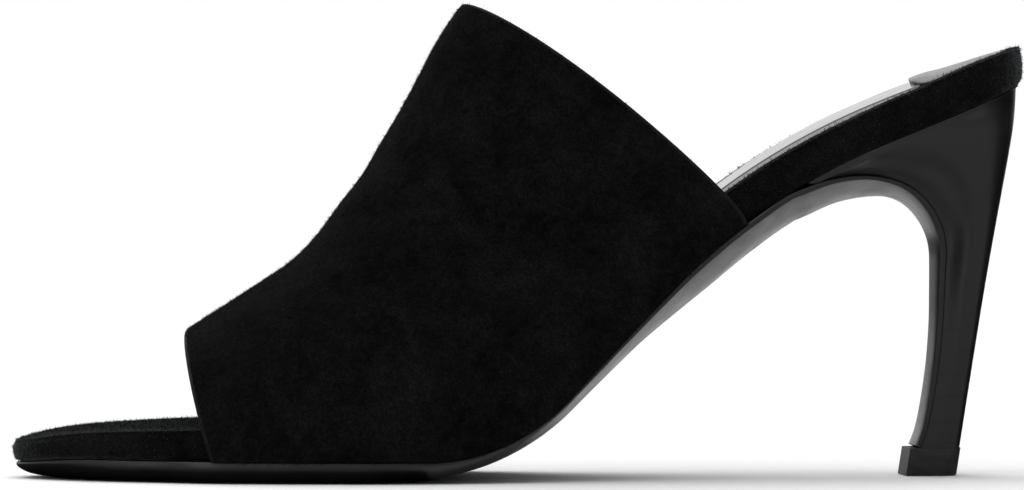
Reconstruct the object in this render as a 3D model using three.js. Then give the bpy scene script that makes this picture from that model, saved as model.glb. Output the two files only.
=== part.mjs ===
// An open-toe mule on a curved blade heel: a left shoe in black suede, size 37.
// Millimetres. The toe points along -X, the outer side of the foot along -Y, and +Z is up.
// The sole stands on z = 0, and the origin is under the middle of the whole shoe.
import * as THREE from "three";
import { mergeVertices } from "three/addons/utils/BufferGeometryUtils.js";

const DEGREE = Math.PI / 180;

// Lengths along the bottom of the footbed, from the toe tip to the back of the heel seat.
const BOTTOM_LENGTH = 250.2;
const SEAT_LENGTH = 34.6;
const SHANK_LENGTH = 33.6;
const BALL_BEND_RADIUS = 45;
const WAIST_BEND_RADIUS = 144;
const TOE_DIP_RADIUS = 110;
const TOE_DIP_ANGLE = 9 * DEGREE;

// Heights over the floor.
const HEEL_HEIGHT = 87.5;
const SOLE_AT_BALL = 4.8;
const LIFT_HEIGHT = 6;

// Breadths.
const BALL_WIDTH = 74;
const SEAT_WIDTH = 50.5;
const STEM_WIDTH = 13;
const SEAT_ANGLE = 22 * DEGREE;

// Thicknesses.
const FOOTBED_THICKNESS = 7.7;
const UPPER_WALL = 1.8;
const SOLE_EDGE = 3.3;
const FLAP_THICKNESS = 1.5;
const SOCK_THICKNESS = 0.8;
const PAD_THICKNESS = 1;

// The upper: its height over the instep, square to the sole, and where it stands on the sole.
const INSTEP_HEIGHT = 77.5;
const UPPER_FRONT = 43.9;
const UPPER_BACK = 178.8;
const SOLE_LEDGE = 2;
const LEDGE_EASE = 10;
const LEDGE_AHEAD = 15;

// The front of the heel: from where the sole leaves the footbed, over the arch and down.
const SOLE_LEAVES_AT = 190;
const WEDGE_TIP = 5;
const ARCH_START_ANGLE = 20.6 * DEGREE;
const ARCH_RUN = 5;
const ARCH_RADIUS = 31;
const ARCH_END_ANGLE = -14 * DEGREE;
const BREAST_RADIUS = 17.5;
const BREAST_ANGLE = -92 * DEGREE;
const STEM_SWEEP_RADIUS = 140;
const STEM_SWEEP_LENGTH = 26;
const FOOT_FLARE_RADIUS = 24;
const FOOT_FLARE_LENGTH = 6;
const HEEL_BACK_SLOPE = 8.9 * DEGREE;
const HEEL_BACK_INSET = 1.2;
const SEAT_INSET = 0.6;
const LIFT_OVERHANG = 1.1;
const LIFT_SIDE_OVERHANG = 0.2;

// Across the heel, as shares of the way from the breast to the back: where it reaches its full
// breadth and where its back starts to round.
const WIDENED_AT = 0.45;
const ROUND_FROM = 0.52;
const SIDE_SQUARENESS = 3.2;
const SQUARED_AT = 0.25;

const CLEARANCE = 0.3;

// How much higher or lower the seat's outer and inner edges lie than its middle line.
const SEAT_BANK_OUTER = 0.4;
const SEAT_BANK_INNER = -1.2;

// The rounding of the outline at its ends: lengths, and how square each one is.
const TOE_ROUNDING = 44;
const TOE_SQUARENESS = 1.75;
const HEEL_ROUNDING = 27;
const HEEL_SQUARENESS = 2.2;
const TOE_SOFTNESS = 0.8;

// The sock lining starts behind the toe opening, and the heel pad lies on its back end.
const SOCK_BEHIND_FRONT = 22;
const SOCK_FRONT_ROUNDING = 16;
const PAD_LENGTH = 22;
const PAD_BORDER = 1.5;
const PAD_FRONT_ROUNDING = 4;

// Points around and along each shape.
const FOOTBED_STATIONS = 46;
const COVER_STATIONS = 30;
const FOREFOOT_STATIONS = 22;
const WAIST_STATIONS = 52;
const HEEL_RINGS = 22;
const HEEL_RING_HALF = 20;
const UPPER_RINGS = 25;
const UPPER_RING_HALF = 31;

// The outline of the footbed: share of the bottom length from the toe tip, then the half
// breadth and the middle's shift towards the inner side, as shares of the ball width.
const OUTLINE = [
  { at: 0.0, half: 0.42, middle: 0.095 },
  { at: 0.09, half: 0.437, middle: 0.07 },
  { at: 0.157, half: 0.46, middle: 0.045 },
  { at: 0.25, half: 0.494, middle: 0.012 },
  { at: 0.3, half: 0.5, middle: -0.005 },
  { at: 0.355, half: 0.484, middle: -0.02 },
  { at: 0.44, half: 0.412, middle: -0.036 },
  { at: 0.52, half: 0.338, middle: -0.04 },
  { at: 0.6, half: 0.292, middle: -0.033 },
  { at: 0.66, half: 0.284, middle: -0.024 },
  { at: 0.74, half: 0.298, middle: -0.012 },
];

// The same outline round the heel seat, as shares of the seat width.
const SEAT_OUTLINE = [
  { at: 0.74, half: 0.437, middle: -0.018 },
  { at: 0.82, half: 0.483, middle: -0.006 },
  { at: 0.89, half: 0.5, middle: 0 },
  { at: 1, half: 0.5, middle: 0 },
];

// Thickness of the footbed along its length, as a share of FOOTBED_THICKNESS.
const FOOTBED_PROFILE = [
  { at: 0, thick: 0.7 },
  { at: 0.15, thick: 0.9 },
  { at: 0.35, thick: 0.94 },
  { at: 0.6, thick: 1 },
  { at: 1, thick: 1 },
];

// The rolled edge of the footbed, from below: inset and height as shares of its thickness.
const FOOTBED_RIM = [
  { inset: 0.09, height: 0 },
  { inset: 0, height: 0.16 },
  { inset: -0.02, height: 0.45 },
  { inset: 0.01, height: 0.78 },
  { inset: 0.08, height: 0.95 },
  { inset: 0.32, height: 1 },
];

// The sole behind the ball, along its own path from the toe tip to the end of the flap: full
// thickness and thickness at the edge, as shares of SOLE_EDGE.
const SOLE_PROFILE = [
  { at: 0.25, full: 1.42, edge: 0.66 },
  { at: 0.3, full: 1.1, edge: 0.6 },
  { at: 0.35, full: 0.8, edge: 0.52 },
  { at: 0.42, full: 0.8, edge: 0.52 },
  { at: 0.5, full: 1.15, edge: 0.75 },
  { at: 0.6, full: 1.75, edge: 1 },
  { at: 0.68, full: 1.85, edge: 1 },
  { at: 0.73, full: 1.45, edge: 0.85 },
  { at: 0.79, full: 0.8, edge: 0.5 },
  { at: 1, full: 0.45, edge: 0.3 },
];

// How the sole's edge turns under: share of the way in, and share of the way down from the
// bottom of the edge to the full thickness. The forefoot turns under in TOE_TURN only, the waist
// in a share of its half breadth, and the edge is thinner at the toe tip.
const SOLE_TURN = [
  { way: 0, down: 0 },
  { way: 0.1, down: 0.32 },
  { way: 0.38, down: 0.72 },
  { way: 1, down: 1 },
];
const TOE_TURN = 4.4;
const TOE_EDGE_SHARE = 0.35;
const WAIST_TURN_SHARE = 0.8;
const TURN_CHANGE_LENGTH = 24;

// The fan of sections of the upper, from the toe opening to the back: where it stands between
// UPPER_FRONT and UPPER_BACK, height over the sole as a share of INSTEP_HEIGHT, lean from
// upright towards the toe and swing towards the inner side in degrees, the crest's shift to the
// inner side and the fullness of the sides as shares of BALL_WIDTH, how square the section is,
// and how far its flanks bow towards the heel as a share of BALL_WIDTH.
const UPPER_SECTIONS = [
  { at: 0, rise: 0.367, lean: 14, swing: 6, crest: 0.09, full: 0.02, square: 2.3, bow: -0.01 },
  { at: 0.25, rise: 0.588, lean: 25.6, swing: 5, crest: 0.1, full: 0.03, square: 2.2, bow: 0 },
  { at: 0.5, rise: 0.822, lean: 34.7, swing: 4, crest: 0.1, full: 0.045, square: 2.15, bow: 0.005 },
  { at: 0.75, rise: 0.897, lean: 44, swing: 2, crest: 0.08, full: 0.055, square: 2.15, bow: 0.05 },
  { at: 1, rise: 1, lean: 51.2, swing: 0, crest: 0.06, full: 0.055, square: 2.2, bow: 0.084 },
];

// How the bow of a section fades out towards its foot and towards its crest.
const FOOT_BOW = 0.5;
const CREST_BOW = 1.3;

// The heel between the sole's flap and its own back, from the seat down: share of the way along
// the breast, share of the way down the back, and the half breadths of the side and the breast
// as shares of the half seat. The last row is the stem's, which STEM_WIDTH sets.
const HEEL_SECTIONS = [
  { at: 0, back: 0, side: 0.985, breast: 0.97 },
  { at: 0.1, back: 0.035, side: 0.97, breast: 0.87 },
  { at: 0.22, back: 0.1, side: 0.9, breast: 0.7 },
  { at: 0.34, back: 0.2, side: 0.73, breast: 0.5 },
  { at: 0.44, back: 0.32, side: 0.54, breast: 0.36 },
  { at: 0.55, back: 0.47, side: 0.38, breast: 0.275 },
  { at: 0.7, back: 0.63, side: 0.285, breast: 0.24 },
  { at: 0.85, back: 0.82, side: 0.257, breast: 0.23 },
  { at: 1, back: 1, side: 0.26, breast: 0.25 },
];

const { clamp, lerp } = THREE.MathUtils;

// Reads one column of a table as a smooth curve through its rows, with no overshoot.
function read(rows, column, share) {
  const last = rows.length - 1;
  const at = clamp(share, rows[0].at, rows[last].at);
  let i = 0;
  while (i < last - 1 && at > rows[i + 1].at) i += 1;
  const slope = (k) => (rows[k + 1][column] - rows[k][column]) / (rows[k + 1].at - rows[k].at);
  const tangent = (k) => {
    if (k === 0) return slope(0);
    if (k === last) return slope(last - 1);
    const product = slope(k - 1) * slope(k);
    return product <= 0 ? 0 : (2 * product) / (slope(k - 1) + slope(k));
  };
  const span = rows[i + 1].at - rows[i].at;
  const t = (at - rows[i].at) / span;
  const rest = 1 - t;
  return (
    rows[i][column] * (1 + 2 * t) * rest * rest +
    rows[i + 1][column] * (3 - 2 * t) * t * t +
    span * tangent(i) * t * rest * rest -
    span * tangent(i + 1) * t * t * rest
  );
}

// A chain of straight and round stretches in the X-Z plane, walked by its length.
class Path {
  constructor(x, z, heading) {
    this.legs = [];
    this.end = { s: 0, x, z, heading };
  }

  static step(from, radius, distance) {
    if (!radius) {
      return {
        x: from.x + distance * Math.cos(from.heading),
        z: from.z + distance * Math.sin(from.heading),
        heading: from.heading,
      };
    }
    const heading = from.heading + distance / radius;
    return {
      x: from.x + radius * (Math.sin(heading) - Math.sin(from.heading)),
      z: from.z - radius * (Math.cos(heading) - Math.cos(from.heading)),
      heading,
    };
  }

  straight(length) {
    this.legs.push({ from: this.end, radius: 0 });
    this.end = { s: this.end.s + length, ...Path.step(this.end, 0, length) };
    return this;
  }

  // Turns to a heading on an arc: up when it is over the present one, else down.
  turn(radius, heading) {
    const signed = heading > this.end.heading ? radius : -radius;
    const length = (heading - this.end.heading) * signed;
    this.legs.push({ from: this.end, radius: signed });
    this.end = { s: this.end.s + length, ...Path.step(this.end, signed, length) };
    return this;
  }

  at(s) {
    let leg = this.legs[0];
    for (const next of this.legs) {
      if (next.from.s <= s) leg = next;
    }
    return Path.step(leg.from, leg.radius, s - leg.from.s);
  }
}

// A point s along a path, y across it and h over it.
function place(path, s, y, h) {
  const p = path.at(s);
  const x = p.x - h * Math.sin(p.heading);
  return new THREE.Vector3(x, y, p.z + h * Math.cos(p.heading));
}

// The angle of the shank that lifts the end of the seat to the heel height.
const shankAngle = (() => {
  const bends = BALL_BEND_RADIUS + WAIST_BEND_RADIUS;
  const level =
    SOLE_AT_BALL +
    BALL_BEND_RADIUS +
    WAIST_BEND_RADIUS * Math.cos(SEAT_ANGLE) +
    SEAT_LENGTH * Math.sin(SEAT_ANGLE);
  const reach = Math.hypot(SHANK_LENGTH, bends);
  return Math.atan2(bends, SHANK_LENGTH) + Math.asin((HEEL_HEIGHT - level) / reach);
})();

// The line between footbed and sole: toe dip, flat forefoot, ball bend, shank, waist and seat.
const toeDipLength = TOE_DIP_RADIUS * TOE_DIP_ANGLE;
const flatLength =
  BOTTOM_LENGTH -
  toeDipLength -
  BALL_BEND_RADIUS * shankAngle -
  SHANK_LENGTH -
  WAIST_BEND_RADIUS * (shankAngle - SEAT_ANGLE) -
  SEAT_LENGTH;
const flatEnd = toeDipLength + flatLength;
const toeDipDepth = TOE_DIP_RADIUS * (1 - Math.cos(TOE_DIP_ANGLE));

function forefootPath() {
  return new Path(0, SOLE_AT_BALL - toeDipDepth, TOE_DIP_ANGLE)
    .turn(TOE_DIP_RADIUS, 0)
    .straight(flatLength)
    .turn(BALL_BEND_RADIUS, shankAngle)
    .straight(SHANK_LENGTH);
}
const bottomPath = forefootPath().turn(WAIST_BEND_RADIUS, SEAT_ANGLE).straight(SEAT_LENGTH);

// The top of the sole: the same line as far as the waist, then over the arch of the heel and
// down its breast to the top lift.
const leavingHeading = bottomPath.at(SOLE_LEAVES_AT).heading;
const solePath = forefootPath()
  .turn(WAIST_BEND_RADIUS, leavingHeading)
  .turn(FLAP_THICKNESS * 4, ARCH_START_ANGLE)
  .straight(ARCH_RUN)
  .turn(ARCH_RADIUS, ARCH_END_ANGLE)
  .turn(BREAST_RADIUS, BREAST_ANGLE);
const sweptHeading = BREAST_ANGLE - STEM_SWEEP_LENGTH / STEM_SWEEP_RADIUS;
const flaredHeading = sweptHeading - FOOT_FLARE_LENGTH / FOOT_FLARE_RADIUS;
const sweepDrop = STEM_SWEEP_RADIUS * (Math.cos(BREAST_ANGLE) - Math.cos(sweptHeading));
const flareDrop = FOOT_FLARE_RADIUS * (Math.cos(sweptHeading) - Math.cos(flaredHeading));
const flapEndHeight = LIFT_HEIGHT + CLEARANCE;
const stemDrop = solePath.end.z - sweepDrop - flareDrop - flapEndHeight;
solePath
  .straight(stemDrop / -Math.sin(BREAST_ANGLE))
  .turn(STEM_SWEEP_RADIUS, sweptHeading)
  .turn(FOOT_FLARE_RADIUS, flaredHeading);
const soleLength = solePath.end.s;

// The breadth left at a share of the way into a round end: 2 is a circle, more is squarer.
function roundOff(share, squareness) {
  return (1 - share ** squareness) ** (1 / squareness);
}

// A smooth step from 0 to 1.
function ease(share) {
  const t = clamp(share, 0, 1);
  return t * t * (3 - 2 * t);
}

// The outline of the footbed at a length s: y of its outer and of its inner edge.
function footbedEdge(s) {
  const at = s / BOTTOM_LENGTH;
  const onSeat = at > SEAT_OUTLINE[0].at;
  const rows = onSeat ? SEAT_OUTLINE : OUTLINE;
  const width = onSeat ? SEAT_WIDTH : BALL_WIDTH;
  const fromToe = clamp(1 - s / TOE_ROUNDING, 0, 1);
  const toHeel = clamp(1 - (BOTTOM_LENGTH - s) / HEEL_ROUNDING, 0, 1);
  const toe = roundOff(fromToe, TOE_SQUARENESS);
  const heel = roundOff(toHeel, HEEL_SQUARENESS);
  const half = read(rows, "half", at) * width * toe * heel;
  const middle = read(rows, "middle", at) * width;
  return { outer: middle - half, inner: middle + half };
}

// A row of lengths from start to end, drawn together at a round end.
function stations(start, end, count, roundStart, roundEnd) {
  return Array.from({ length: count }, (_, i) => {
    const t = i / (count - 1);
    let share = t;
    if (roundStart && roundEnd) share = (1 - Math.cos(Math.PI * t)) / 2;
    else if (roundStart) share = 1 - Math.cos((Math.PI / 2) * t);
    else if (roundEnd) share = Math.sin((Math.PI / 2) * t);
    return lerp(start, end, lerp(t, share, 0.8));
  });
}

// An outline as a closed loop of points (s, y): up the outer edge, back down the inner one.
function outlineLoop(lengths, edge) {
  const outer = lengths.map((s) => new THREE.Vector2(s, edge(s).outer));
  const inner = lengths.map((s) => new THREE.Vector2(s, edge(s).inner));
  return [...outer, ...inner.reverse()];
}

// Draws a loop in by a distance for each point. At a flat end it is drawn in sideways only.
function drawIn(loop, distance, flatStart, flatEnd) {
  const half = loop.length / 2;
  const nearest = (i, step) => {
    let k = i;
    do k = (k + step + loop.length) % loop.length;
    while (loop[k].distanceTo(loop[i]) < 1e-6);
    return loop[k];
  };
  return loop.map((p, i) => {
    const station = i < half ? i : loop.length - 1 - i;
    const sideways = (flatStart && station === 0) || (flatEnd && station === half - 1);
    const along = nearest(i, 1).clone().sub(nearest(i, -1)).normalize();
    const inward = sideways
      ? new THREE.Vector2(0, i < half ? 1 : -1)
      : new THREE.Vector2(-along.y, along.x);
    return p.clone().addScaledVector(inward, distance(p.x, station));
  });
}

// Makes a closed mesh from rings of points that follow each other, with both ends capped.
// The first half of each ring faces its second half, so a cap is a strip between the two.
function loft(rings) {
  const size = rings[0].length;
  const points = rings.flat();
  const faces = [];
  const quad = (a, b, c, d) => faces.push([a, b, c], [a, c, d]);
  for (let r = 0; r < rings.length - 1; r += 1) {
    for (let i = 0; i < size; i += 1) {
      const j = (i + 1) % size;
      quad(r * size + i, r * size + j, (r + 1) * size + j, (r + 1) * size + i);
    }
  }
  const top = (rings.length - 1) * size;
  for (let i = 0; i < size / 2 - 1; i += 1) {
    quad(size - 1 - i, size - 2 - i, i + 1, i);
    quad(top + i, top + i + 1, top + size - 2 - i, top + size - 1 - i);
  }
  return closedGeometry(points, faces);
}

// Merges equal points, drops faces without area and turns the faces outwards.
function closedGeometry(points, faces) {
  const shape = new THREE.BufferGeometry().setFromPoints(points).setIndex(faces.flat());
  const merged = mergeVertices(shape, 1e-3);
  const index = Array.from(merged.index.array);
  const position = merged.attributes.position;
  const kept = [];
  let volume = 0;
  const [a, b, c] = [new THREE.Vector3(), new THREE.Vector3(), new THREE.Vector3()];
  for (let i = 0; i < index.length; i += 3) {
    const [p, q, r] = index.slice(i, i + 3);
    if (p === q || q === r || r === p) continue;
    kept.push(p, q, r);
    a.fromBufferAttribute(position, p);
    b.fromBufferAttribute(position, q);
    c.fromBufferAttribute(position, r);
    volume += a.dot(b.cross(c));
  }
  merged.setIndex(volume < 0 ? kept.reverse() : kept);
  merged.computeVertexNormals();
  return merged;
}

function material(color, roughness) {
  return new THREE.MeshStandardMaterial({ color, roughness, metalness: 0, flatShading: true });
}
const suede = material("#17161a", 0.95);
const sockLeather = material("#2b2c2f", 0.4);
const padLeather = material("#3a3c40", 0.5);
const soleLeather = material("#3b3733", 0.35);
const paintedHeel = material("#2b292a", 0.4);
const liftRubber = material("#201f1f", 0.7);

function footbedThickness(s) {
  return FOOTBED_THICKNESS * read(FOOTBED_PROFILE, "thick", s / BOTTOM_LENGTH);
}

// A point of the footbed, y across it and h over the sole. Its back stands upright on the sloping
// seat, so the upper layers reach further, and its seat is banked a little to the inner side.
function onBed(s, y, h) {
  const share = clamp((s - BOTTOM_LENGTH + HEEL_ROUNDING) / HEEL_ROUNDING, 0, 1);
  const inwards = y / SEAT_WIDTH + 0.5;
  const bank = lerp(SEAT_BANK_OUTER, SEAT_BANK_INNER, inwards) * ease(share * 2);
  const level = h + (bank * h) / FOOTBED_THICKNESS;
  return place(bottomPath, s + h * Math.tan(SEAT_ANGLE) * share, y, level);
}

// The rim is rounder at the toe.
function softening(s) {
  return 1 + TOE_SOFTNESS * (1 - ease(s / TOE_ROUNDING));
}

// A thin flat piece on the footbed: its outline is the footbed's, drawn in and cut off in front.
function coverOutline(start, end, inset, rounding) {
  const lengths = stations(start, end, COVER_STATIONS, true, true);
  const edge = (s) => {
    const { outer, inner } = footbedEdge(Math.min(s, BOTTOM_LENGTH - HEEL_ROUNDING));
    const middle = (outer + inner) / 2;
    const half = (inner - outer) / 2 - inset;
    const front = clamp(1 - (s - start) / rounding, 0, 1);
    const back = clamp(1 - (end - s) / (HEEL_ROUNDING - inset), 0, 1);
    const round = roundOff(front, 3) * roundOff(back, HEEL_SQUARENESS);
    return { outer: middle - half * round, inner: middle + half * round };
  };
  return outlineLoop(lengths, edge);
}

function coverPiece(loop, base, thickness, softness) {
  const layer = (inset, height) =>
    drawIn(loop, () => inset, false, false).map((p) => {
      const h = footbedThickness(p.x) + base + height;
      return onBed(p.x, p.y, h);
    });
  return loft([
    layer(0, 0),
    layer(0, thickness - softness),
    layer(softness, thickness),
  ]);
}

const RIM_INSET = FOOTBED_RIM[FOOTBED_RIM.length - 1].inset * FOOTBED_THICKNESS;
const RECESS_DEPTH = SOCK_THICKNESS * 0.9;

// The padded board: a plate with a rolled edge and a shallow recess for the sock.
function makeFootbed() {
  const lengths = stations(0, BOTTOM_LENGTH, FOOTBED_STATIONS, true, true);
  const loop = outlineLoop(lengths, footbedEdge);
  const layer = (inset, height) =>
    drawIn(loop, (s) => inset * footbedThickness(s) * softening(s), false, false).map((p) =>
      onBed(p.x, p.y, height(footbedThickness(p.x))),
    );
  const rings = FOOTBED_RIM.map((row) =>
    layer(row.inset, (thick) => lerp(CLEARANCE, thick, row.height)),
  );
  const recess = (RIM_INSET + CLEARANCE) / FOOTBED_THICKNESS;
  rings.push(layer(recess, (thick) => thick - RECESS_DEPTH));
  return loft(rings);
}

const COVER_INSET = RIM_INSET + 3 * CLEARANCE;
const sockBase = CLEARANCE - RECESS_DEPTH;

function makeSock() {
  const start = UPPER_FRONT + SOCK_BEHIND_FRONT;
  const end = BOTTOM_LENGTH - COVER_INSET;
  const loop = coverOutline(start, end, COVER_INSET, SOCK_FRONT_ROUNDING);
  return coverPiece(loop, sockBase, SOCK_THICKNESS, SOCK_THICKNESS * 0.4);
}

function makeHeelPad() {
  const inset = COVER_INSET + PAD_BORDER;
  const start = BOTTOM_LENGTH - PAD_LENGTH;
  const loop = coverOutline(start, BOTTOM_LENGTH - inset, inset, PAD_FRONT_ROUNDING);
  const base = sockBase + SOCK_THICKNESS + CLEARANCE;
  return coverPiece(loop, base, PAD_THICKNESS, PAD_THICKNESS * 0.5);
}

// How far along the breast of the heel a point of the sole's path lies, from 0 to 1.
const wedgeStart = SOLE_LEAVES_AT + WEDGE_TIP;
function breastShare(s) {
  return clamp((s - wedgeStart) / (soleLength - wedgeStart), 0, 1);
}

// Below the waist the heel's sections narrow from the seat's half breadth to the stem's.
function heelHalf(column, share) {
  const half = read(HEEL_SECTIONS, column, share);
  const stem = HEEL_SECTIONS[HEEL_SECTIONS.length - 1][column];
  const narrowed = (half - stem) / (1 - stem);
  return lerp(STEM_WIDTH / 2, SEAT_WIDTH / 2, narrowed);
}

// The sole's outline: a ledge wider than the footbed under the upper, then the heel's breast.
function soleEdge(s) {
  const bed = footbedEdge(Math.min(s, wedgeStart));
  const onset = (s - UPPER_FRONT + LEDGE_AHEAD) / LEDGE_EASE;
  const fade = (UPPER_BACK + LEDGE_EASE - s) / LEDGE_EASE;
  const ledge = SOLE_LEDGE * ease(onset) * ease(fade);
  const narrow = heelHalf("breast", breastShare(s)) / heelHalf("breast", 0);
  const middle = (bed.outer + bed.inner) / 2;
  const half = ((bed.inner - bed.outer) / 2 + ledge) * narrow;
  return { outer: middle * narrow - half, inner: middle * narrow + half };
}

// Full and edge thickness of the sole. As far as the ball it reaches down to the floor.
function soleThickness(s) {
  const at = s / soleLength;
  const p = solePath.at(s);
  const bend = { full: read(SOLE_PROFILE, "full", at), edge: read(SOLE_PROFILE, "edge", at) };
  const full = s <= flatEnd ? p.z / Math.cos(p.heading) : SOLE_EDGE * bend.full;
  const fromToe = clamp(s / (TOE_ROUNDING / 2), 0, 1);
  return { full, edge: SOLE_EDGE * bend.edge * lerp(TOE_EDGE_SHARE, 1, fromToe) };
}

function makeOutsole() {
  const lengths = [
    ...stations(0, flatEnd, FOREFOOT_STATIONS, true, false),
    ...stations(flatEnd, soleLength, WAIST_STATIONS, false, false).slice(1),
  ];
  const loop = outlineLoop(lengths, soleEdge);
  const widestTurn = TOE_ROUNDING * 0.7;
  const turnInset = (s, way) => {
    const { outer, inner } = soleEdge(s);
    const forefoot = clamp((flatEnd - s) / TURN_CHANGE_LENGTH + 0.5, 0, 1);
    const taper = 1 + clamp(1 - s / TOE_ROUNDING, 0, 1);
    const waistTurn = ((inner - outer) / 2) * WAIST_TURN_SHARE;
    return lerp(waistTurn, TOE_TURN * taper, forefoot) * way;
  };
  const layer = (way, down) =>
    drawIn(loop, (s) => Math.min(turnInset(s, way), widestTurn * way), false, true).map((p) => {
      const { full, edge } = soleThickness(p.x);
      return place(solePath, p.x, p.y, -lerp(Math.min(edge, full), full, down));
    });
  const topRing = loop.map((p) => place(solePath, p.x, p.y, 0));
  return loft([...SOLE_TURN.map((row) => layer(row.way, row.down)).reverse(), topRing]);
}

// The back of the heel: a straight line from the seat's end down to the top lift.
const seatEnd = place(bottomPath, BOTTOM_LENGTH - HEEL_BACK_INSET, 0, 0);
function heelBack(share, bottom) {
  const z = lerp(seatEnd.z, bottom, share);
  return { x: seatEnd.x - (seatEnd.z - z) * Math.tan(HEEL_BACK_SLOPE), z };
}

// A ring round the heel: straight across the breast, round at the back.
function heelRing(point) {
  const shares = stations(0, 1, HEEL_RING_HALF, false, true);
  const outer = shares.map((q) => point(q, -1));
  const inner = shares.map((q) => point(q, 1));
  return [...outer, ...inner.reverse()];
}

// One straight section of the heel, from a point of the breast to a point of the back.
function heelSection(front, back, breastHalf, sideHalf, squareness) {
  return heelRing((q, sign) => {
    const side = lerp(breastHalf, sideHalf, ease(q / WIDENED_AT));
    const round = clamp((q - ROUND_FROM) / (1 - ROUND_FROM), 0, 1);
    const y = sign * side * roundOff(round, squareness);
    return new THREE.Vector3(lerp(front.x, back.x, q), y, lerp(front.z, back.z, q));
  });
}

// The top of the heel, just inside the footbed's edge.
function seatRing() {
  return heelRing((q, sign) => {
    const length = lerp(wedgeStart, BOTTOM_LENGTH - HEEL_BACK_INSET, q);
    const { outer, inner } = footbedEdge(length);
    const half = q === 1 ? 0 : Math.max((inner - outer) / 2 - SEAT_INSET, 0);
    return place(bottomPath, length, (outer + inner) / 2 + sign * half, 0);
  });
}

function makeHeel() {
  const sections = Array.from({ length: HEEL_RINGS - 1 }, (_, i) => {
    const share = (i + 1) / (HEEL_RINGS - 1);
    const s = lerp(wedgeStart, soleLength, share);
    const front = place(solePath, s, 0, CLEARANCE);
    const back = heelBack(read(HEEL_SECTIONS, "back", share), flapEndHeight);
    const sideHalf = heelHalf("side", share);
    const narrow = heelHalf("breast", share) / heelHalf("breast", 0);
    const bed = footbedEdge(wedgeStart);
    const breastHalf = ((bed.inner - bed.outer) / 2) * narrow;
    const squareness = lerp(HEEL_SQUARENESS, SIDE_SQUARENESS, ease(share / SQUARED_AT));
    return heelSection(front, back, breastHalf, sideHalf, squareness);
  });
  return loft([seatRing(), ...sections]);
}

function makeTopLift() {
  const half = STEM_WIDTH / 2 + LIFT_SIDE_OVERHANG;
  const overhang = FLAP_THICKNESS + LIFT_OVERHANG - CLEARANCE;
  const ring = (z) => {
    const lean = (flapEndHeight - z) * Math.tan(HEEL_BACK_SLOPE);
    const front = { x: solePath.end.x - overhang - lean, z };
    const back = heelBack(1, z);
    return heelSection(front, { x: back.x + CLEARANCE, z }, half, half, SIDE_SQUARENESS);
  };
  return loft([ring(0), ring(LIFT_HEIGHT)]);
}

// The outer face of one section of the upper, from its outer foot over the crest to the inner.
function upperSection(share) {
  const row = (column) => read(UPPER_SECTIONS, column, share);
  const s = lerp(UPPER_FRONT, UPPER_BACK, share);
  const swing = Math.tan(row("swing") * DEGREE);
  const out = 2 * CLEARANCE + UPPER_WALL;
  const foot = (side) => {
    const sign = side === "outer" ? -1 : 1;
    const shifted = s + footbedEdge(s)[side] * swing;
    return place(bottomPath, shifted, footbedEdge(shifted)[side] + sign * out, CLEARANCE);
  };
  const outerFoot = foot("outer");
  const innerFoot = foot("inner");
  const middle = outerFoot.clone().lerp(innerFoot, 0.5);
  const across = innerFoot.clone().sub(outerFoot).multiplyScalar(0.5);
  const half = across.length();
  across.normalize();
  const lean = row("lean") * DEGREE;
  const up = new THREE.Vector3(-Math.sin(lean), 0, Math.cos(lean));
  const heel = new THREE.Vector3(Math.cos(lean), 0, Math.sin(lean));
  const rise = row("rise") * INSTEP_HEIGHT - CLEARANCE;
  const crest = row("crest") * BALL_WIDTH;
  const square = row("square");
  const last = UPPER_RING_HALF - 1;
  const outerFace = Array.from({ length: UPPER_RING_HALF }, (_, i) => {
    const turn = (Math.PI * i) / last;
    const c = Math.cos(turn);
    const a = Math.sign(c) * Math.abs(c) ** (2 / square);
    const flank = Math.sin(2 * turn);
    const y = -a * half + (1 - Math.abs(a)) * crest - row("full") * BALL_WIDTH * flank;
    const bow = row("bow") * BALL_WIDTH * Math.sin(turn) ** FOOT_BOW * Math.abs(c) ** CREST_BOW;
    return middle
      .clone()
      .addScaledVector(across, y)
      .addScaledVector(up, Math.sin(turn) * rise)
      .addScaledVector(heel, bow);
  });
  const facing = new THREE.Vector3().crossVectors(across, up);
  const innerFace = outerFace.map((p, i) => {
    const before = outerFace[Math.max(i - 1, 0)];
    const after = outerFace[Math.min(i + 1, last)];
    const along = after.clone().sub(before);
    if (i === 0 || i === last) along.copy(up).multiplyScalar(i === 0 ? 1 : -1);
    const inward = new THREE.Vector3().crossVectors(along, facing).normalize().negate();
    return p.clone().addScaledVector(inward, -UPPER_WALL);
  });
  return [...outerFace, ...innerFace.reverse()];
}

function makeUpper() {
  const last = UPPER_RINGS - 1;
  return loft(Array.from({ length: UPPER_RINGS }, (_, i) => upperSection(i / last)));
}

const shoe = new THREE.Group();

function add(name, geometry, finish) {
  const mesh = new THREE.Mesh(geometry, finish);
  mesh.name = name;
  shoe.add(mesh);
}

add("outsole", makeOutsole(), soleLeather);
add("footbed", makeFootbed(), suede);
add("upper", makeUpper(), suede);
add("heel", makeHeel(), paintedHeel);
add("top_lift", makeTopLift(), liftRubber);
add("sock_lining", makeSock(), sockLeather);
add("heel_pad", makeHeelPad(), padLeather);

// The origin lies on the floor under the middle of the shoe.
const box = new THREE.Box3().setFromObject(shoe);
const centre = box.getCenter(new THREE.Vector3());
shoe.position.set(-centre.x, -centre.y, -box.min.z);

export default shoe;
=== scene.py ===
import math

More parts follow.
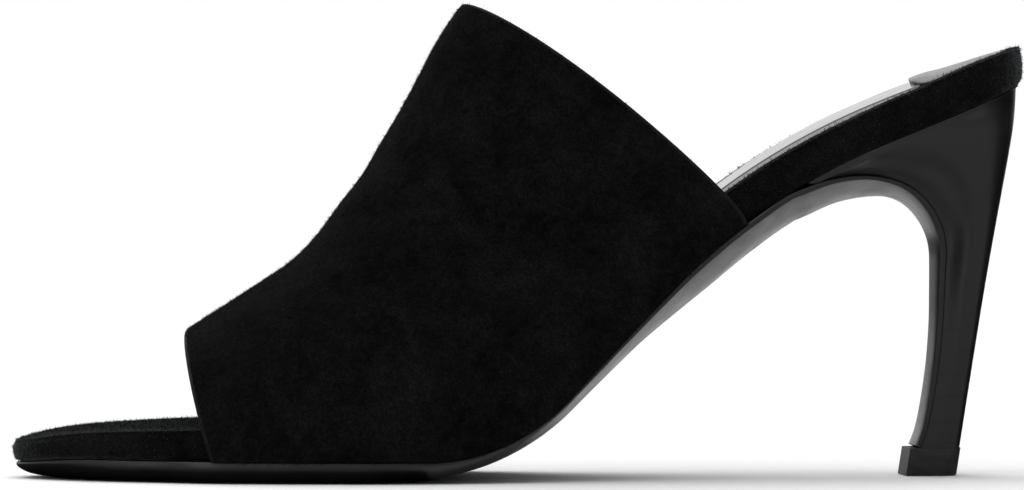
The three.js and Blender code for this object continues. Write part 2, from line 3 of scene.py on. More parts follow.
import bmesh
import bpy
import numpy as np
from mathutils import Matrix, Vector


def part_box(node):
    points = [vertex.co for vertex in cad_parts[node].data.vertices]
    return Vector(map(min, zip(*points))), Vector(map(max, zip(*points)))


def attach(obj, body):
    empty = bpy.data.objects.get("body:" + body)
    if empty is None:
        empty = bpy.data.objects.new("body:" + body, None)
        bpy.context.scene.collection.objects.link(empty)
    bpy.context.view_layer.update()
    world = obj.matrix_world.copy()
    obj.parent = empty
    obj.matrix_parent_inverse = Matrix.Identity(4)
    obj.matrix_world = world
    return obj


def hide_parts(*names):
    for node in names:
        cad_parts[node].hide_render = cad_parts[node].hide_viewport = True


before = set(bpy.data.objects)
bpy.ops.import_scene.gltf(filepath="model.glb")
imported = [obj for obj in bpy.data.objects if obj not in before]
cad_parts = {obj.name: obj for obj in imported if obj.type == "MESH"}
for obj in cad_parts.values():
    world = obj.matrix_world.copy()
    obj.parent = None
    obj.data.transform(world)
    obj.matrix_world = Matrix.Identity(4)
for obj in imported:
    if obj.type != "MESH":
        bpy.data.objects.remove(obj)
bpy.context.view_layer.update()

# The open-toe mule in black suede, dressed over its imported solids. Shapes are worked out in
# millimetres along the shoe's own lines, as its maker would, and turned to metres at the end.

DEGREE = math.pi / 180
MM = 0.001

# Sizes of the last, the sole and the heel, as in the part's source.
BOTTOM_LENGTH = 250.2
SEAT_LENGTH = 34.6
SHANK_LENGTH = 33.6
BALL_BEND_RADIUS = 45
WAIST_BEND_RADIUS = 144
TOE_DIP_RADIUS = 110
TOE_DIP_ANGLE = 9 * DEGREE
HEEL_HEIGHT = 87.5
SOLE_AT_BALL = 4.8
LIFT_HEIGHT = 6
BALL_WIDTH = 74
SEAT_WIDTH = 50.5
STEM_WIDTH = 13
SEAT_ANGLE = 22 * DEGREE
FOOTBED_THICKNESS = 7.7
SOLE_EDGE = 3.3
UPPER_WALL = 1.8
FLAP_THICKNESS = 1.5
SOCK_THICKNESS = 0.8
INSTEP_HEIGHT = 77.5
UPPER_FRONT = 43.9
UPPER_BACK = 178.8
SOLE_LEDGE = 2
LEDGE_EASE = 10
LEDGE_AHEAD = 15
SEAT_BANK_OUTER = 0.4
SOLE_LEAVES_AT = 190
WEDGE_TIP = 5
ARCH_START_ANGLE = 20.6 * DEGREE
ARCH_RUN = 5
ARCH_RADIUS = 31
ARCH_END_ANGLE = -14 * DEGREE
BREAST_RADIUS = 17.5
BREAST_ANGLE = -92 * DEGREE
STEM_SWEEP_RADIUS = 140
STEM_SWEEP_LENGTH = 26
FOOT_FLARE_RADIUS = 24
FOOT_FLARE_LENGTH = 6
HEEL_BACK_SLOPE = 8.9 * DEGREE
HEEL_BACK_INSET = 1.2
SEAT_INSET = 0.6
WIDENED_AT = 0.45
ROUND_FROM = 0.52
SIDE_SQUARENESS = 3.2
LIFT_OVERHANG = 1.1
LIFT_SIDE_OVERHANG = 0.2
TOE_ROUNDING = 44
TOE_SQUARENESS = 1.75
HEEL_ROUNDING = 27
HEEL_SQUARENESS = 2.2
SOCK_BEHIND_FRONT = 22
SOCK_FRONT_ROUNDING = 16
CLEARANCE = 0.3

# Softer here than in the solids: the seat's bank at its inner edge, the rim of the toe, the share
# of the way down the heel where its sides are square, and the outline of the pad.
SEAT_BANK_INNER = -0.6
TOE_SOFTNESS = 1.5
SQUARED_AT = 0.32
PAD_LENGTH = 23.2
PAD_BORDER = 0.4
PAD_FRONT_ROUNDING = 6

# What is left between faces that press on each other, and between heel and sole, in mm.
TOUCH = 0.03
GLUE_LINE = 0.02

# How far in the sole's bottom turns up to its edge: mm on the forefoot, share of the half breadth
# in the waist, and at most a share of the toe's rounding. One turn changes into the other over a
# length, and at the tip of the toe the edge has a share of its thickness.
TOE_TURN = 4.4
TOE_EDGE_SHARE = 0.35
WAIST_TURN_SHARE = 0.8
TURN_CHANGE_LENGTH = 24
WIDEST_TURN_SHARE = 0.7

# The waist's thin edge: its share of the thickness, and where it sets in and ends.
WAIST_EDGE_SHARE = 0.3
WAIST_ONSET = 28
WAIST_ENDS = (0.74, 0.82)

# How far the edge's corners are taken off, below and above, in mm.
SOLE_CORNER_LOW = 0.25
SOLE_CORNER_TOP = 0.22

# Points along and around each fine shape.
FOREFOOT_STATIONS = 64
WAIST_STATIONS = 170
BED_STATIONS = 120
RIM_RINGS = 22
SOCK_STATIONS = 120
PAD_STATIONS = 90
HEEL_RINGS = 60
FIRST_HEEL_RING = 0.012
HEEL_RING_HALF = 40
LIFT_RING_HALF = 28
BOX_RING_HALF = 20
UPPER_ACROSS = 113
UPPER_RINGS = 96
EDGE_STEPS = 6


def table(columns, rows):
    """A short table with named columns, as one dictionary for each row."""
    return [dict(zip(columns.split(), row)) for row in rows]


# The footbed by the share of its length from the toe tip: half breadth, and its middle's shift
# inwards, as shares of the ball width and then of the seat width.
OUTLINE = table("at half middle", [
    (0.0, 0.42, 0.095),
    (0.09, 0.437, 0.07),
    (0.157, 0.46, 0.045),
    (0.25, 0.494, 0.012),
    (0.3, 0.5, -0.005),
    (0.355, 0.484, -0.02),
    (0.44, 0.412, -0.036),
    (0.52, 0.338, -0.04),
    (0.6, 0.292, -0.033),
    (0.66, 0.284, -0.024),
    (0.74, 0.298, -0.012),
])
SEAT_OUTLINE = table("at half middle", [
    (0.74, 0.437, -0.018),
    (0.82, 0.483, -0.006),
    (0.89, 0.5, 0),
    (1, 0.5, 0),
])
FOOTBED_PROFILE = table("at thickness", [
    (0, 0.66),
    (0.1, 0.88),
    (0.2, 0.96),
    (0.35, 0.97),
    (0.6, 1),
    (1, 1),
])

# The mm that the wrap's pile stands up by along its outer edge.
PILE_RISE = table("at rise", [
    (0, 0),
    (0.64, 0),
    (0.72, 0.7),
    (0.83, 0.7),
    (0.88, 1.15),
    (0.95, 1.3),
    (1, 0.7),
])

# The mm that the sock's foam lifts it by at its outer and its inner edge.
SOCK_RISE = table("at outer inner", [
    (0, 0, 0),
    (0.64, 0, 0),
    (0.72, 0.9, -0.2),
    (0.83, 0.95, 0.3),
    (0.875, 1.0, 0.5),
    (0.905, 0.8, 0.6),
    (0.944, 0.1, 0.05),
    (1, 0, 0),
])

# Round the edge of the footbed from below, in shares of its thickness.
FOOTBED_RIM = table("at inset height", [
    (0, 0.09, 0.02),
    (0.2, 0, 0.16),
    (0.4, -0.02, 0.45),
    (0.6, 0.005, 0.74),
    (0.8, 0.07, 0.94),
    (1, 0.32, 1),
])

# A faint ridge where the wrap turns over the board, and the hollow below it: place and width as
# shares of the way round the rim, and rise in mm before it is weakened.
WRAP_RIDGE = table("at width rise", [
    (0.78, 0.035, 0.16),
    (0.69, 0.05, -0.1),
])
RIDGE_STRENGTH = 0.7

# The sole along its own path: thickness in the middle and at the edge, as shares of SOLE_EDGE.
SOLE_PROFILE = table("at full edge", [
    (0.25, 1.42, 0.66),
    (0.3, 1.42, 0.6),
    (0.35, 1.35, 0.52),
    (0.42, 1.28, 0.52),
    (0.5, 1.4, 0.75),
    (0.6, 2.1, 1),
    (0.68, 2.1, 1),
    (0.73, 1.7, 0.85),
    (0.79, 0.95, 0.5),
    (1, 0.45, 0.3),
])

# How the sole's bottom comes down from its edge, on the forefoot and in the waist.
SOLE_TURN = table("at depth", [(0, 0), (0.1, 0.32), (0.38, 0.72), (1, 1)])
WAIST_TURN = table("at depth", [(0, 0), (0.05, 0.08), (0.3, 0.42), (0.6, 0.76), (1, 1)])
SOLE_RING_WAYS = (1, 0.8, 0.6, 0.45, 0.32, 0.22, 0.14, 0.08, 0.04, 0.01)

# The upper's sections from the toe opening to the back. Rise is a share of the instep height,
# lean and swing are degrees, and crest, full and bow are shares of the ball width.
UPPER_COLUMNS = "at rise lean swing crest full square bow"
UPPER_SECTIONS = table(UPPER_COLUMNS, [
    (0, 0.367, 14.3, 6, 0.09, 0.02, 2.3, -0.009),
    (0.25, 0.588, 25.6, 5, 0.1, 0.03, 2.2, 0),
    (0.5, 0.822, 34.7, 4, 0.1, 0.045, 2.15, 0.005),
    (0.75, 0.897, 44, 2, 0.08, 0.055, 2.15, 0.05),
    (1, 1, 51.2, 0, 0.06, 0.055, 2.2, 0.084),
])

# How the bow of a section fades out towards its foot and towards its crest.
FOOT_BOW = 0.5
CREST_BOW = 1.3

# The heel from the seat down: way down its breast, way down its back, side and breast breadths.
HEEL_SECTIONS = table("at back side breast", [
    (0, 0, 0.985, 0.97),
    (0.1, 0.035, 0.97, 0.87),
    (0.22, 0.1, 0.9, 0.7),
    (0.34, 0.2, 0.73, 0.5),
    (0.44, 0.32, 0.54, 0.36),
    (0.55, 0.47, 0.38, 0.275),
    (0.7, 0.63, 0.285, 0.24),
    (0.85, 0.82, 0.257, 0.23),
    (1, 1, 0.26, 0.25),
])

# The sock's border: it slopes up from the wrap to a step pressed into the leather. The pad's has
# a soft edge. Both are rings drawn in by an inset and raised by a height, in mm.
PRESSED_BORDER = [
    (0, -0.3),
    (-0.2, -0.1),
    (-0.1, 0.0),
    (0.3, 0.12),
    (1.2, 0.28),
    (2.4, 0.46),
    (3.6, 0.66),
    (4.6, 0.82),
    (5.1, 0.88),
    (5.3, 0.84),
    (5.42, 0.88),
    (5.52, 1.02),
    (5.7, 1.12),
    (6.6, 1.14),
]
SOFT_BORDER = [
    (0, 0),
    (-0.1, 0.25),
    (0.05, 0.45),
    (0.3, 0.56),
    (0.8, 0.66),
    (1.4, 0.75),
    (2.1, 0.84),
    (3, 0.9),
]
COVER_SQUARENESS = 3
PAD_ON_SOCK = 0.76

# The front of the pad: its slant as mm for each mm across, and in mm the roll of its edge and the
# lift of the foam behind it. Both fade out sideways.
PAD_SLANT = 0.1
PAD_ROLL = {"height": 0.35, "length": 1.6, "inner_side": 18, "fade": 20}
PAD_LIFT = {"height": 0.9, "length": 10, "fade": 12}


def clamp(value, low=0.0, high=1.0):
    return max(low, min(high, value))


def lerp(a, b, t):
    return a + (b - a) * t


def ease(share):
    t = clamp(share)
    return t * t * (3 - 2 * t)


def round_off(share, squareness):
    """The breadth left at a share of the way into a round end."""
    return (1 - clamp(share) ** squareness) ** (1 / squareness)


def read(rows, column, share):
    """One column of a table as a smooth curve through its rows, with no overshoot."""
    last = len(rows) - 1
    at = clamp(share, rows[0]["at"], rows[last]["at"])
    i = 0
    while i < last - 1 and at > rows[i + 1]["at"]:
        i += 1

    def slope(k):
        return (rows[k + 1][column] - rows[k][column]) / (rows[k + 1]["at"] - rows[k]["at"])

    def tangent(k):
        if k == 0:
            return slope(0)
        if k == last:
            return slope(last - 1)
        product = slope(k - 1) * slope(k)
        return 0 if product <= 0 else 2 * product / (slope(k - 1) + slope(k))

    span = rows[i + 1]["at"] - rows[i]["at"]
    t = (at - rows[i]["at"]) / span
    rest = 1 - t
    return (
        rows[i][column] * (1 + 2 * t) * rest * rest
        + rows[i + 1][column] * (3 - 2 * t) * t * t
        + span * tangent(i) * t * rest * rest
        - span * tangent(i + 1) * t * t * rest
    )


class Path:
    """A chain of straight and round stretches in the X-Z plane, walked by its length."""

    def __init__(self, x, z, heading):
        self.legs = []
        self.s = 0.0
        self.end = (x, z, heading)

    @staticmethod
    def step(start, radius, distance):
        x, z, heading = start
        if not radius:
            return x + distance * math.cos(heading), z + distance * math.sin(heading), heading
        turned = heading + distance / radius
        return (
            x + radius * (math.sin(turned) - math.sin(heading)),
            z - radius * (math.cos(turned) - math.cos(heading)),
            turned,
        )

    def straight(self, length):
        self.legs.append((self.s, self.end, 0))
        self.end = Path.step(self.end, 0, length)
        self.s += length
        return self

    def turn(self, radius, heading):
        signed = radius if heading > self.end[2] else -radius
        length = (heading - self.end[2]) * signed
        self.legs.append((self.s, self.end, signed))
        self.end = Path.step(self.end, signed, length)
        self.s += length
        return self

    def at(self, s):
        chosen = self.legs[0]
        for leg in self.legs:
            if leg[0] <= s:
                chosen = leg
        return Path.step(chosen[1], chosen[2], s - chosen[0])


def place(path, s, y, h):
    """A point s along a path, y across it and h over it."""
    x, z, heading = path.at(s)
    return np.array((x - h * math.sin(heading), y, z + h * math.cos(heading)))


def find_shank_angle():
    """The angle of the shank that lifts the end of the seat to the heel height."""
    bends = BALL_BEND_RADIUS + WAIST_BEND_RADIUS
    level = SOLE_AT_BALL + BALL_BEND_RADIUS + WAIST_BEND_RADIUS * math.cos(SEAT_ANGLE)
    level += SEAT_LENGTH * math.sin(SEAT_ANGLE)
    reach = math.hypot(SHANK_LENGTH, bends)
    return math.atan2(bends, SHANK_LENGTH) + math.asin((HEEL_HEIGHT - level) / reach)


SHANK_ANGLE = find_shank_angle()
TOE_DIP_LENGTH = TOE_DIP_RADIUS * TOE_DIP_ANGLE
FLAT_LENGTH = (
    BOTTOM_LENGTH
    - TOE_DIP_LENGTH
    - BALL_BEND_RADIUS * SHANK_ANGLE
    - SHANK_LENGTH
    - WAIST_BEND_RADIUS * (SHANK_ANGLE - SEAT_ANGLE)
    - SEAT_LENGTH
)
FLAT_END = TOE_DIP_LENGTH + FLAT_LENGTH


def forefoot_path():
    dip = TOE_DIP_RADIUS * (1 - math.cos(TOE_DIP_ANGLE))
    path = Path(0, SOLE_AT_BALL - dip, TOE_DIP_ANGLE).turn(TOE_DIP_RADIUS, 0)
    return path.straight(FLAT_LENGTH).turn(BALL_BEND_RADIUS, SHANK_ANGLE).straight(SHANK_LENGTH)


BOTTOM = forefoot_path().turn(WAIST_BEND_RADIUS, SEAT_ANGLE).straight(SEAT_LENGTH)


def sole_path():
    """The top of the sole: over the arch of the heel and down its breast to the top lift."""
    path = forefoot_path().turn(WAIST_BEND_RADIUS, BOTTOM.at(SOLE_LEAVES_AT)[2])
    path.turn(FLAP_THICKNESS * 4, ARCH_START_ANGLE).straight(ARCH_RUN)
    path.turn(ARCH_RADIUS, ARCH_END_ANGLE).turn(BREAST_RADIUS, BREAST_ANGLE)
    swept = BREAST_ANGLE - STEM_SWEEP_LENGTH / STEM_SWEEP_RADIUS
    flared = swept - FOOT_FLARE_LENGTH / FOOT_FLARE_RADIUS
    drop = STEM_SWEEP_RADIUS * (math.cos(BREAST_ANGLE) - math.cos(swept))
    drop += FOOT_FLARE_RADIUS * (math.cos(swept) - math.cos(flared))
    stem = path.end[1] - drop - LIFT_HEIGHT - CLEARANCE
    path.straight(stem / math.sin(-BREAST_ANGLE))
    return path.turn(STEM_SWEEP_RADIUS, swept).turn(FOOT_FLARE_RADIUS, flared)


SOLE = sole_path()
WEDGE_START = SOLE_LEAVES_AT + WEDGE_TIP


def bed_edge(s):
    """y of the outer and of the inner edge of the footbed."""
    at = s / BOTTOM_LENGTH
    on_seat = at > SEAT_OUTLINE[0]["at"]
    rows, width = (SEAT_OUTLINE, SEAT_WIDTH) if on_seat else (OUTLINE, BALL_WIDTH)
    toe = round_off(1 - s / TOE_ROUNDING, TOE_SQUARENESS)
    heel = round_off(1 - (BOTTOM_LENGTH - s) / HEEL_ROUNDING, HEEL_SQUARENESS)
    half = read(rows, "half", at) * width * toe * heel
    middle = read(rows, "middle", at) * width
    return middle - half, middle + half


def bed_thickness(s):
    return FOOTBED_THICKNESS * read(FOOTBED_PROFILE, "thickness", s / BOTTOM_LENGTH)


def on_bed(s, y, h):
    """A point of the footbed. Its back stands upright, and its seat is banked a little inwards."""
    share = clamp((s - BOTTOM_LENGTH + HEEL_ROUNDING) / HEEL_ROUNDING)
    bank = lerp(SEAT_BANK_OUTER, SEAT_BANK_INNER, y / SEAT_WIDTH + 0.5) * ease(share * 2)
    return place(BOTTOM, s + h * math.tan(SEAT_ANGLE) * share, y, h * (1 + bank / FOOTBED_THICKNESS))


def near_lift(s, y):
    """The pile of the wrap stands higher along the outer edge of the waist and the seat."""
    return read(PILE_RISE, "rise", s / BOTTOM_LENGTH) * clamp(0.5 - y / SEAT_WIDTH)


def softening(s):
    """The rim is rounder at the toe."""
    return 1 + TOE_SOFTNESS * (1 - ease(s / TOE_ROUNDING))


# How much of a row of lengths is drawn together at its round ends.
GATHERED = 0.8


def stations(start, end, count, round_start, round_end):
    """A row of lengths from start to end, drawn together at a round end."""
    row = []
    for i in range(count):
        t = i / (count - 1)
        share = t
        if round_start and round_end:
            share = (1 - math.cos(math.pi * t)) / 2
        elif round_start:
            share = 1 - math.cos(math.pi / 2 * t)
        elif round_end:
            share = math.sin(math.pi / 2 * t)
        row.append(lerp(start, end, lerp(t, share, GATHERED)))
    return row


def outline_loop(lengths, edge):
    outer = [(s, edge(s)[0]) for s in lengths]
    inner = [(s, edge(s)[1]) for s in reversed(lengths)]
    return np.array(outer + inner)


# Points nearer than SAME_POINT mm are one. In a mesh, corners within MERGED metres are merged,
# and edges shorter than NO_LENGTH metres are dropped.
SAME_POINT = 1e-6
MERGED = 2e-6
NO_LENGTH = 1e-7


def draw_in(loop, distance, flat_end=False):
    """Draws a loop in by a distance for each point. At a flat end it is drawn in sideways only."""
    count = len(loop)
    half = count // 2
    drawn = []
    for i, point in enumerate(loop):
        station = i if i < half else count - 1 - i
        sides = []
        for way in (1, -1):
            k = (i + way) % count
            while np.linalg.norm(loop[k] - point) < SAME_POINT:
                k = (k + way) % count
            sides.append(loop[k])
        along = sides[0] - sides[1]
        along /= np.linalg.norm(along)
        inward = np.array((-along[1], along[0]))
        if flat_end and station == half - 1:
            inward = np.array((0.0, 1.0 if i < half else -1.0))
        drawn.append(point + inward * distance(point[0]))
    return np.array(drawn)


def put(name, data):
    """Puts a mesh, a lamp or a camera into the scene."""
    made = bpy.data.objects.new(name, data)
    bpy.context.collection.objects.link(made)
    return made


def lay_out(points, faces, name, finish, sharp, trim=None, trimmed=()):
    """Makes a mesh piece from points in mm and merges equal points. Some faces may have a trim."""
    mesh = bpy.data.meshes.new(name)
    mesh.from_pydata([tuple((p + SHIFT) * MM) for p in points], [], faces)
    mesh.materials.append(finish)
    if trim:
        mesh.materials.append(trim)
        for i in trimmed:
            mesh.polygons[i].material_index = 1
    work = bmesh.new()
    work.from_mesh(mesh)
    bmesh.ops.remove_doubles(work, verts=work.verts, dist=MERGED)
    bmesh.ops.dissolve_degenerate(work, edges=work.edges, dist=NO_LENGTH)
    bmesh.ops.recalc_face_normals(work, faces=work.faces)
    work.to_mesh(mesh)
    work.free()
    mesh.shade_smooth()
    mesh.set_sharp_from_angle(angle=sharp * DEGREE)
    return put(name, mesh)


def loft_faces(rings, size):
    """Quads between rings that follow each other, and a strip across each end."""
    faces = []
    for r in range(rings - 1):
        for i in range(size):
            j = (i + 1) % size
            faces.append((r * size + i, r * size + j, (r + 1) * size + j, (r + 1) * size + i))
    top = (rings - 1) * size
    for i in range(size // 2 - 1):
        faces.append((size - 1 - i, size - 2 - i, i + 1, i))
        faces.append((top + i, top + i + 1, top + size - 2 - i, top + size - 1 - i))
    return faces


def loft(name, rings, finish, sharp=50):
    """A closed piece through rings in mm. Edges that bend by more than sharp degrees stay crisp."""
    return lay_out(np.concatenate(rings), loft_faces(len(rings), len(rings[0])), name, finish, sharp)


# how the finishes are mixed


def colour(code):
    """An sRGB hex value as a linear colour."""
    parts = [int(code[i : i + 2], 16) / 255 for i in (1, 3, 5)]
    linear = [p / 12.92 if p <= 0.04045 else ((p + 0.055) / 1.055) ** 2.4 for p in parts]
    return (*linear, 1.0)


def add(tree, kind, settings=None, inputs=None):
    """Adds one shader node with its own settings and its inputs, which are values or sockets."""
    made = tree.nodes.new(kind)
    for name, value in (settings or {}).items():
        setattr(made, name, value)
    for key, value in (inputs or {}).items():
        if isinstance(value, bpy.types.NodeSocket):
            tree.links.new(value, made.inputs[key])
        else:
            made.inputs[key].default_value = value
    return made


def start_finish(name):
    made = bpy.data.materials.new(name)
    made.use_nodes = True
    made.node_tree.nodes.clear()
    return made, made.node_tree


def finish_off(tree, inputs):
    surface = add(tree, "ShaderNodeBsdfPrincipled", None, inputs)
    add(tree, "ShaderNodeOutputMaterial", None, {"Surface": surface.outputs["BSDF"]})


def shades(tree, fac, low, high, start=0.3, end=0.7):
    """Two colours, blended by a pattern between two of its levels."""
    ramp = add(tree, "ShaderNodeValToRGB", None, {"Fac": fac})
    ramp.color_ramp.elements[0].position = start
    ramp.color_ramp.elements[0].color = colour(low)
    ramp.color_ramp.elements[1].position = end
    ramp.color_ramp.elements[1].color = colour(high)
    return ramp.outputs["Color"]


def in_mm(tree, size):
    """The piece's own coordinates, scaled so that one unit of a pattern is size mm."""
    place_in = add(tree, "ShaderNodeTexCoord")
    scale = 1 / (size * MM)
    mapping = add(
        tree, "ShaderNodeMapping", None,
        {"Vector": place_in.outputs["Object"], "Scale": (scale, scale, scale)},
    )
    return mapping.outputs["Vector"]


def pattern(tree, size, detail, roughness, distortion=0.0):
    """Soft noise whose patches are about size mm across."""
    made = add(
        tree, "ShaderNodeTexNoise", None,
        {"Vector": in_mm(tree, size), "Scale": 1.0, "Detail": detail, "Roughness": roughness,
         "Distortion": distortion},
    )
    return made.outputs["Fac"]


def reckon(tree, operation, *values):
    """One sum worked out from values or sockets."""
    made = add(tree, "ShaderNodeMath", {"operation": operation}, dict(enumerate(values)))
    return made.outputs["Value"]


def spread(tree, value, ends, to_ends, blend="LINEAR"):
    """A value between two ends, laid out between two others."""
    made = add(
        tree, "ShaderNodeMapRange", {"interpolation_type": blend},
        {"Value": value, "From Min": ends[0], "From Max": ends[1],
         "To Min": to_ends[0], "To Max": to_ends[1]},
    )
    return made.outputs["Result"]


def bump(tree, height, strength, distance, invert=False):
    """A face made uneven by a pattern, by up to distance in metres."""
    made = add(
        tree, "ShaderNodeBump", {"invert": invert},
        {"Strength": strength, "Distance": distance, "Height": height},
    )
    return made.outputs["Normal"]


def make_suede(name, low, high, start, end, sheen, tint):
    # The flesh side of a hide, split, buffed and dyed black. The nap's fibres lie in tufts of 2 mm
    # and patches of a finger's breadth that catch the light differently, with no gloss of their own.
    made, tree = start_finish(name)
    nap = pattern(tree, 0.5, 4.0, 0.75)
    tufts = pattern(tree, 2.2, 3.0, 0.7, 0.8)
    patches = pattern(tree, 11, 3.0, 0.6, 0.4)
    tufted = reckon(tree, "MULTIPLY_ADD", nap, 0.5, tufts)
    mixed = reckon(tree, "MULTIPLY_ADD", patches, 0.46, reckon(tree, "MULTIPLY", tufted, 0.36))
    finish_off(tree, {
        "Base Color": shades(tree, mixed, low, high, start, end),
        "Roughness": 1.0,
        "Specular IOR Level": 0.0,
        "Sheen Weight": sheen,
        "Sheen Roughness": 0.3,
        "Sheen Tint": colour(tint),
        "Normal": bump(tree, tufted, strength=0.9, distance=0.0003),
    })
    return made


def make_leather(name, dark, light, roughness, grain, depth, coat=0.0, gloss=0.5):
    """Smooth leather with fine pores, grain mm apart, and clouds of shine a few mm wide."""
    made, tree = start_finish(name)
    pores = add(
        tree, "ShaderNodeTexVoronoi", {"feature": "DISTANCE_TO_EDGE"},
        {"Vector": in_mm(tree, grain), "Scale": 1.0, "Randomness": 1.0},
    )
    clouds = pattern(tree, 7, 5.0, 0.6)
    finish_off(tree, {
        "Base Color": shades(tree, clouds, dark, light),
        "Roughness": spread(tree, clouds, (0.3, 0.7), (roughness * 0.85, roughness * 1.2)),
        "IOR": 1.5,
        "Specular IOR Level": gloss,
        "Coat Weight": coat,
        "Coat Roughness": 0.3,
        "Normal": bump(tree, pores.outputs["Distance"], depth, distance=0.0001),
    })
    return made


# The heights in metres between which the heel's glue lines come to show, going down the stem.
GLUE_SHOWS = (0.048, 0.03)


def make_stacked_heel():
    # Layers of sole leather glued up, shaped on a wheel, and lacquered satin black-brown. The
    # layers' glue lines show as faint waves in the stem, where the lacquer is thinnest.
    made, tree = start_finish("stacked leather, black satin lacquer")
    waves = add(
        tree, "ShaderNodeTexWave", {"bands_direction": "Z", "wave_profile": "SIN"},
        {"Vector": in_mm(tree, 16), "Scale": 1.0, "Distortion": 2.2, "Detail": 2.0, "Detail Scale": 0.6},
    )
    lines = reckon(tree, "POWER", waves.outputs["Fac"], 24.0)
    place_in = add(tree, "ShaderNodeTexCoord")
    parts = add(tree, "ShaderNodeSeparateXYZ", None, {"Vector": place_in.outputs["Object"]})
    low_down = spread(tree, parts.outputs["Z"], GLUE_SHOWS, (0.0, 1.0))
    worn = reckon(tree, "MULTIPLY", low_down, pattern(tree, 11, 2.0, 0.5))
    glue = reckon(tree, "MULTIPLY", lines, worn)
    finish_off(tree, {
        "Base Color": shades(tree, glue, "#171415", "#0d0b0b", 0.05, 0.6),
        "Roughness": spread(tree, pattern(tree, 5, 6.0, 0.65), (0.3, 0.7), (0.37, 0.41)),
        "IOR": 1.5,
        "Specular IOR Level": 0.5,
        "Normal": bump(tree, glue, 0.25, 0.0001, invert=True),
    })
    return made


def make_rubber():
    # Dense nitrile rubber, pressed and trimmed by hand, dull, with a fine pitted face that is a
    # little blotched.
    made, tree = start_finish("nitrile rubber, moulded")
    finish_off(tree, {
        "Base Color": shades(tree, pattern(tree, 1.8, 3.0, 0.6), "#0e0d0c", "#242220"),
        "Roughness": 0.62,
        "Specular IOR Level": 0.5,
        "Normal": bump(tree, pattern(tree, 0.6, 4.0, 0.7), 0.7, 0.0002),
    })
    return made


# Colours are the nap's dark and light, which blend between two levels of its pattern. A sheen gives
# the pale fuzz that a nap shows where it is seen edge on, stronger on the brushed goat.
SUEDE = make_suede(
    "calf suede, dyed black and buffed", "#080808", "#141414",
    start=0.38, end=0.66, sheen=0.1, tint="#b4b4b4",
)
WRAP_SUEDE = make_suede(
    "goat suede, dyed black and brushed", "#080808", "#131313",
    start=0.38, end=0.66, sheen=0.5, tint="#b8bcc0",
)

# The ends of the fibres are worn paler than the hide under them.
NAP = make_suede(
    "loose fibres of black calf suede", "#101010", "#262626",
    start=0.4, end=0.68, sheen=0.1, tint="#c8c8c8",
)
WRAP_NAP = make_suede(
    "loose fibres of black goat suede", "#0f0f0f", "#232425",
    start=0.4, end=0.68, sheen=0.5, tint="#c8ccd0",
)

# The hide's own cut edge, waxed dark, with next to no shine.
CUT_EDGE = make_leather(
    "cut suede edge, waxed", "#0f0d0c", "#1c1917", roughness=0.7, grain=0.5, depth=0.3, gloss=0.15
)

# Drum-dyed lining with a natural grain, which glows softly where light falls in.
LINING = make_leather(
    "calf lining, smooth black", "#101010", "#181818", roughness=0.5, grain=0.9, depth=0.3
)

# Kid glazed with an agate, so that it mirrors the studio in clear streaks.
SOCK_LEATHER = make_leather(
    "kid leather, glazed black", "#101112", "#17181a", roughness=0.13, grain=0.8, depth=0.03
)

# The same kid pressed over foam, a little duller and with its pores raised.
PAD_LEATHER = make_leather(
    "kid leather, embossed heel pad", "#141516", "#1e1f20", roughness=0.3, grain=0.7, depth=0.12
)

# Dense sole leather, rolled, inked black-brown and burnished, with a thin coat of wax.
SOLE_LEATHER = make_leather(
    "bend leather, edge inked and polished", "#0c0b0a", "#131110",
    roughness=0.38, grain=1.2, depth=0.03, coat=0.1,
)
STACKED_HEEL = make_stacked_heel()
LIFT_RUBBER = make_rubber()


# the pieces


def lift_rings(half_points, soft=0.0):
    """The top lift's rings from the floor up, with an edge softened by soft mm at both ends."""
    half = STEM_WIDTH / 2 + LIFT_SIDE_OVERHANG
    overhang = FLAP_THICKNESS + LIFT_OVERHANG - CLEARANCE

    def ring(z, inset):
        lean = (LIFT_HEIGHT + CLEARANCE - z) * math.tan(HEEL_BACK_SLOPE)
        front = (SOLE.end[0] - overhang - lean + inset, z)
        back = (heel_back(1, z)[0] + CLEARANCE - inset, z)
        return heel_section(front, back, half - inset, half - inset, half_points)

    if not soft:
        return [ring(0, 0), ring(LIFT_HEIGHT, 0)]
    # It is pressed up against the heel and the end of the sole. Rows are a height and an inset.
    crown = LIFT_HEIGHT + CLEARANCE - TOUCH
    foot = [(0, soft), (soft * 0.3, soft * 0.3), (soft, 0)]
    top = [(crown - soft * 0.6, 0), (crown - soft * 0.15, soft * 0.2), (crown, soft * 0.6)]
    return [ring(z, inset) for z, inset in foot + top]


SEAT_END = place(BOTTOM, BOTTOM_LENGTH - HEEL_BACK_INSET, 0, 0)


def heel_back(share, bottom):
    """A point of the heel's back, a share of the way from the seat down to bottom."""
    z = lerp(SEAT_END[2], bottom, share)
    return SEAT_END[0] - (SEAT_END[2] - z) * math.tan(HEEL_BACK_SLOPE), z


def heel_section(front, back, breast_half, side_half, half_points, squareness=SIDE_SQUARENESS):
    """One section of the heel, from its breast round its back."""
    shares = stations(0, 1, half_points, False, True)

    def point(q, sign):
        side = lerp(breast_half, side_half, ease(q / WIDENED_AT))
        y = sign * side * round_off((q - ROUND_FROM) / (1 - ROUND_FROM), squareness)
        return (lerp(front[0], back[0], q), y, lerp(front[1], back[1], q))

    return np.array([point(q, -1) for q in shares] + [point(q, 1) for q in reversed(shares)])


def find_shift():
    """From the maker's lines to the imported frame, read off the top lift's box."""
    own = np.concatenate(lift_rings(BOX_RING_HALF))
    low, high = [np.array(corner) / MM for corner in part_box("top_lift")]
    return (low + high) / 2 - (own.min(axis=0) + own.max(axis=0)) / 2


SHIFT = find_shift()


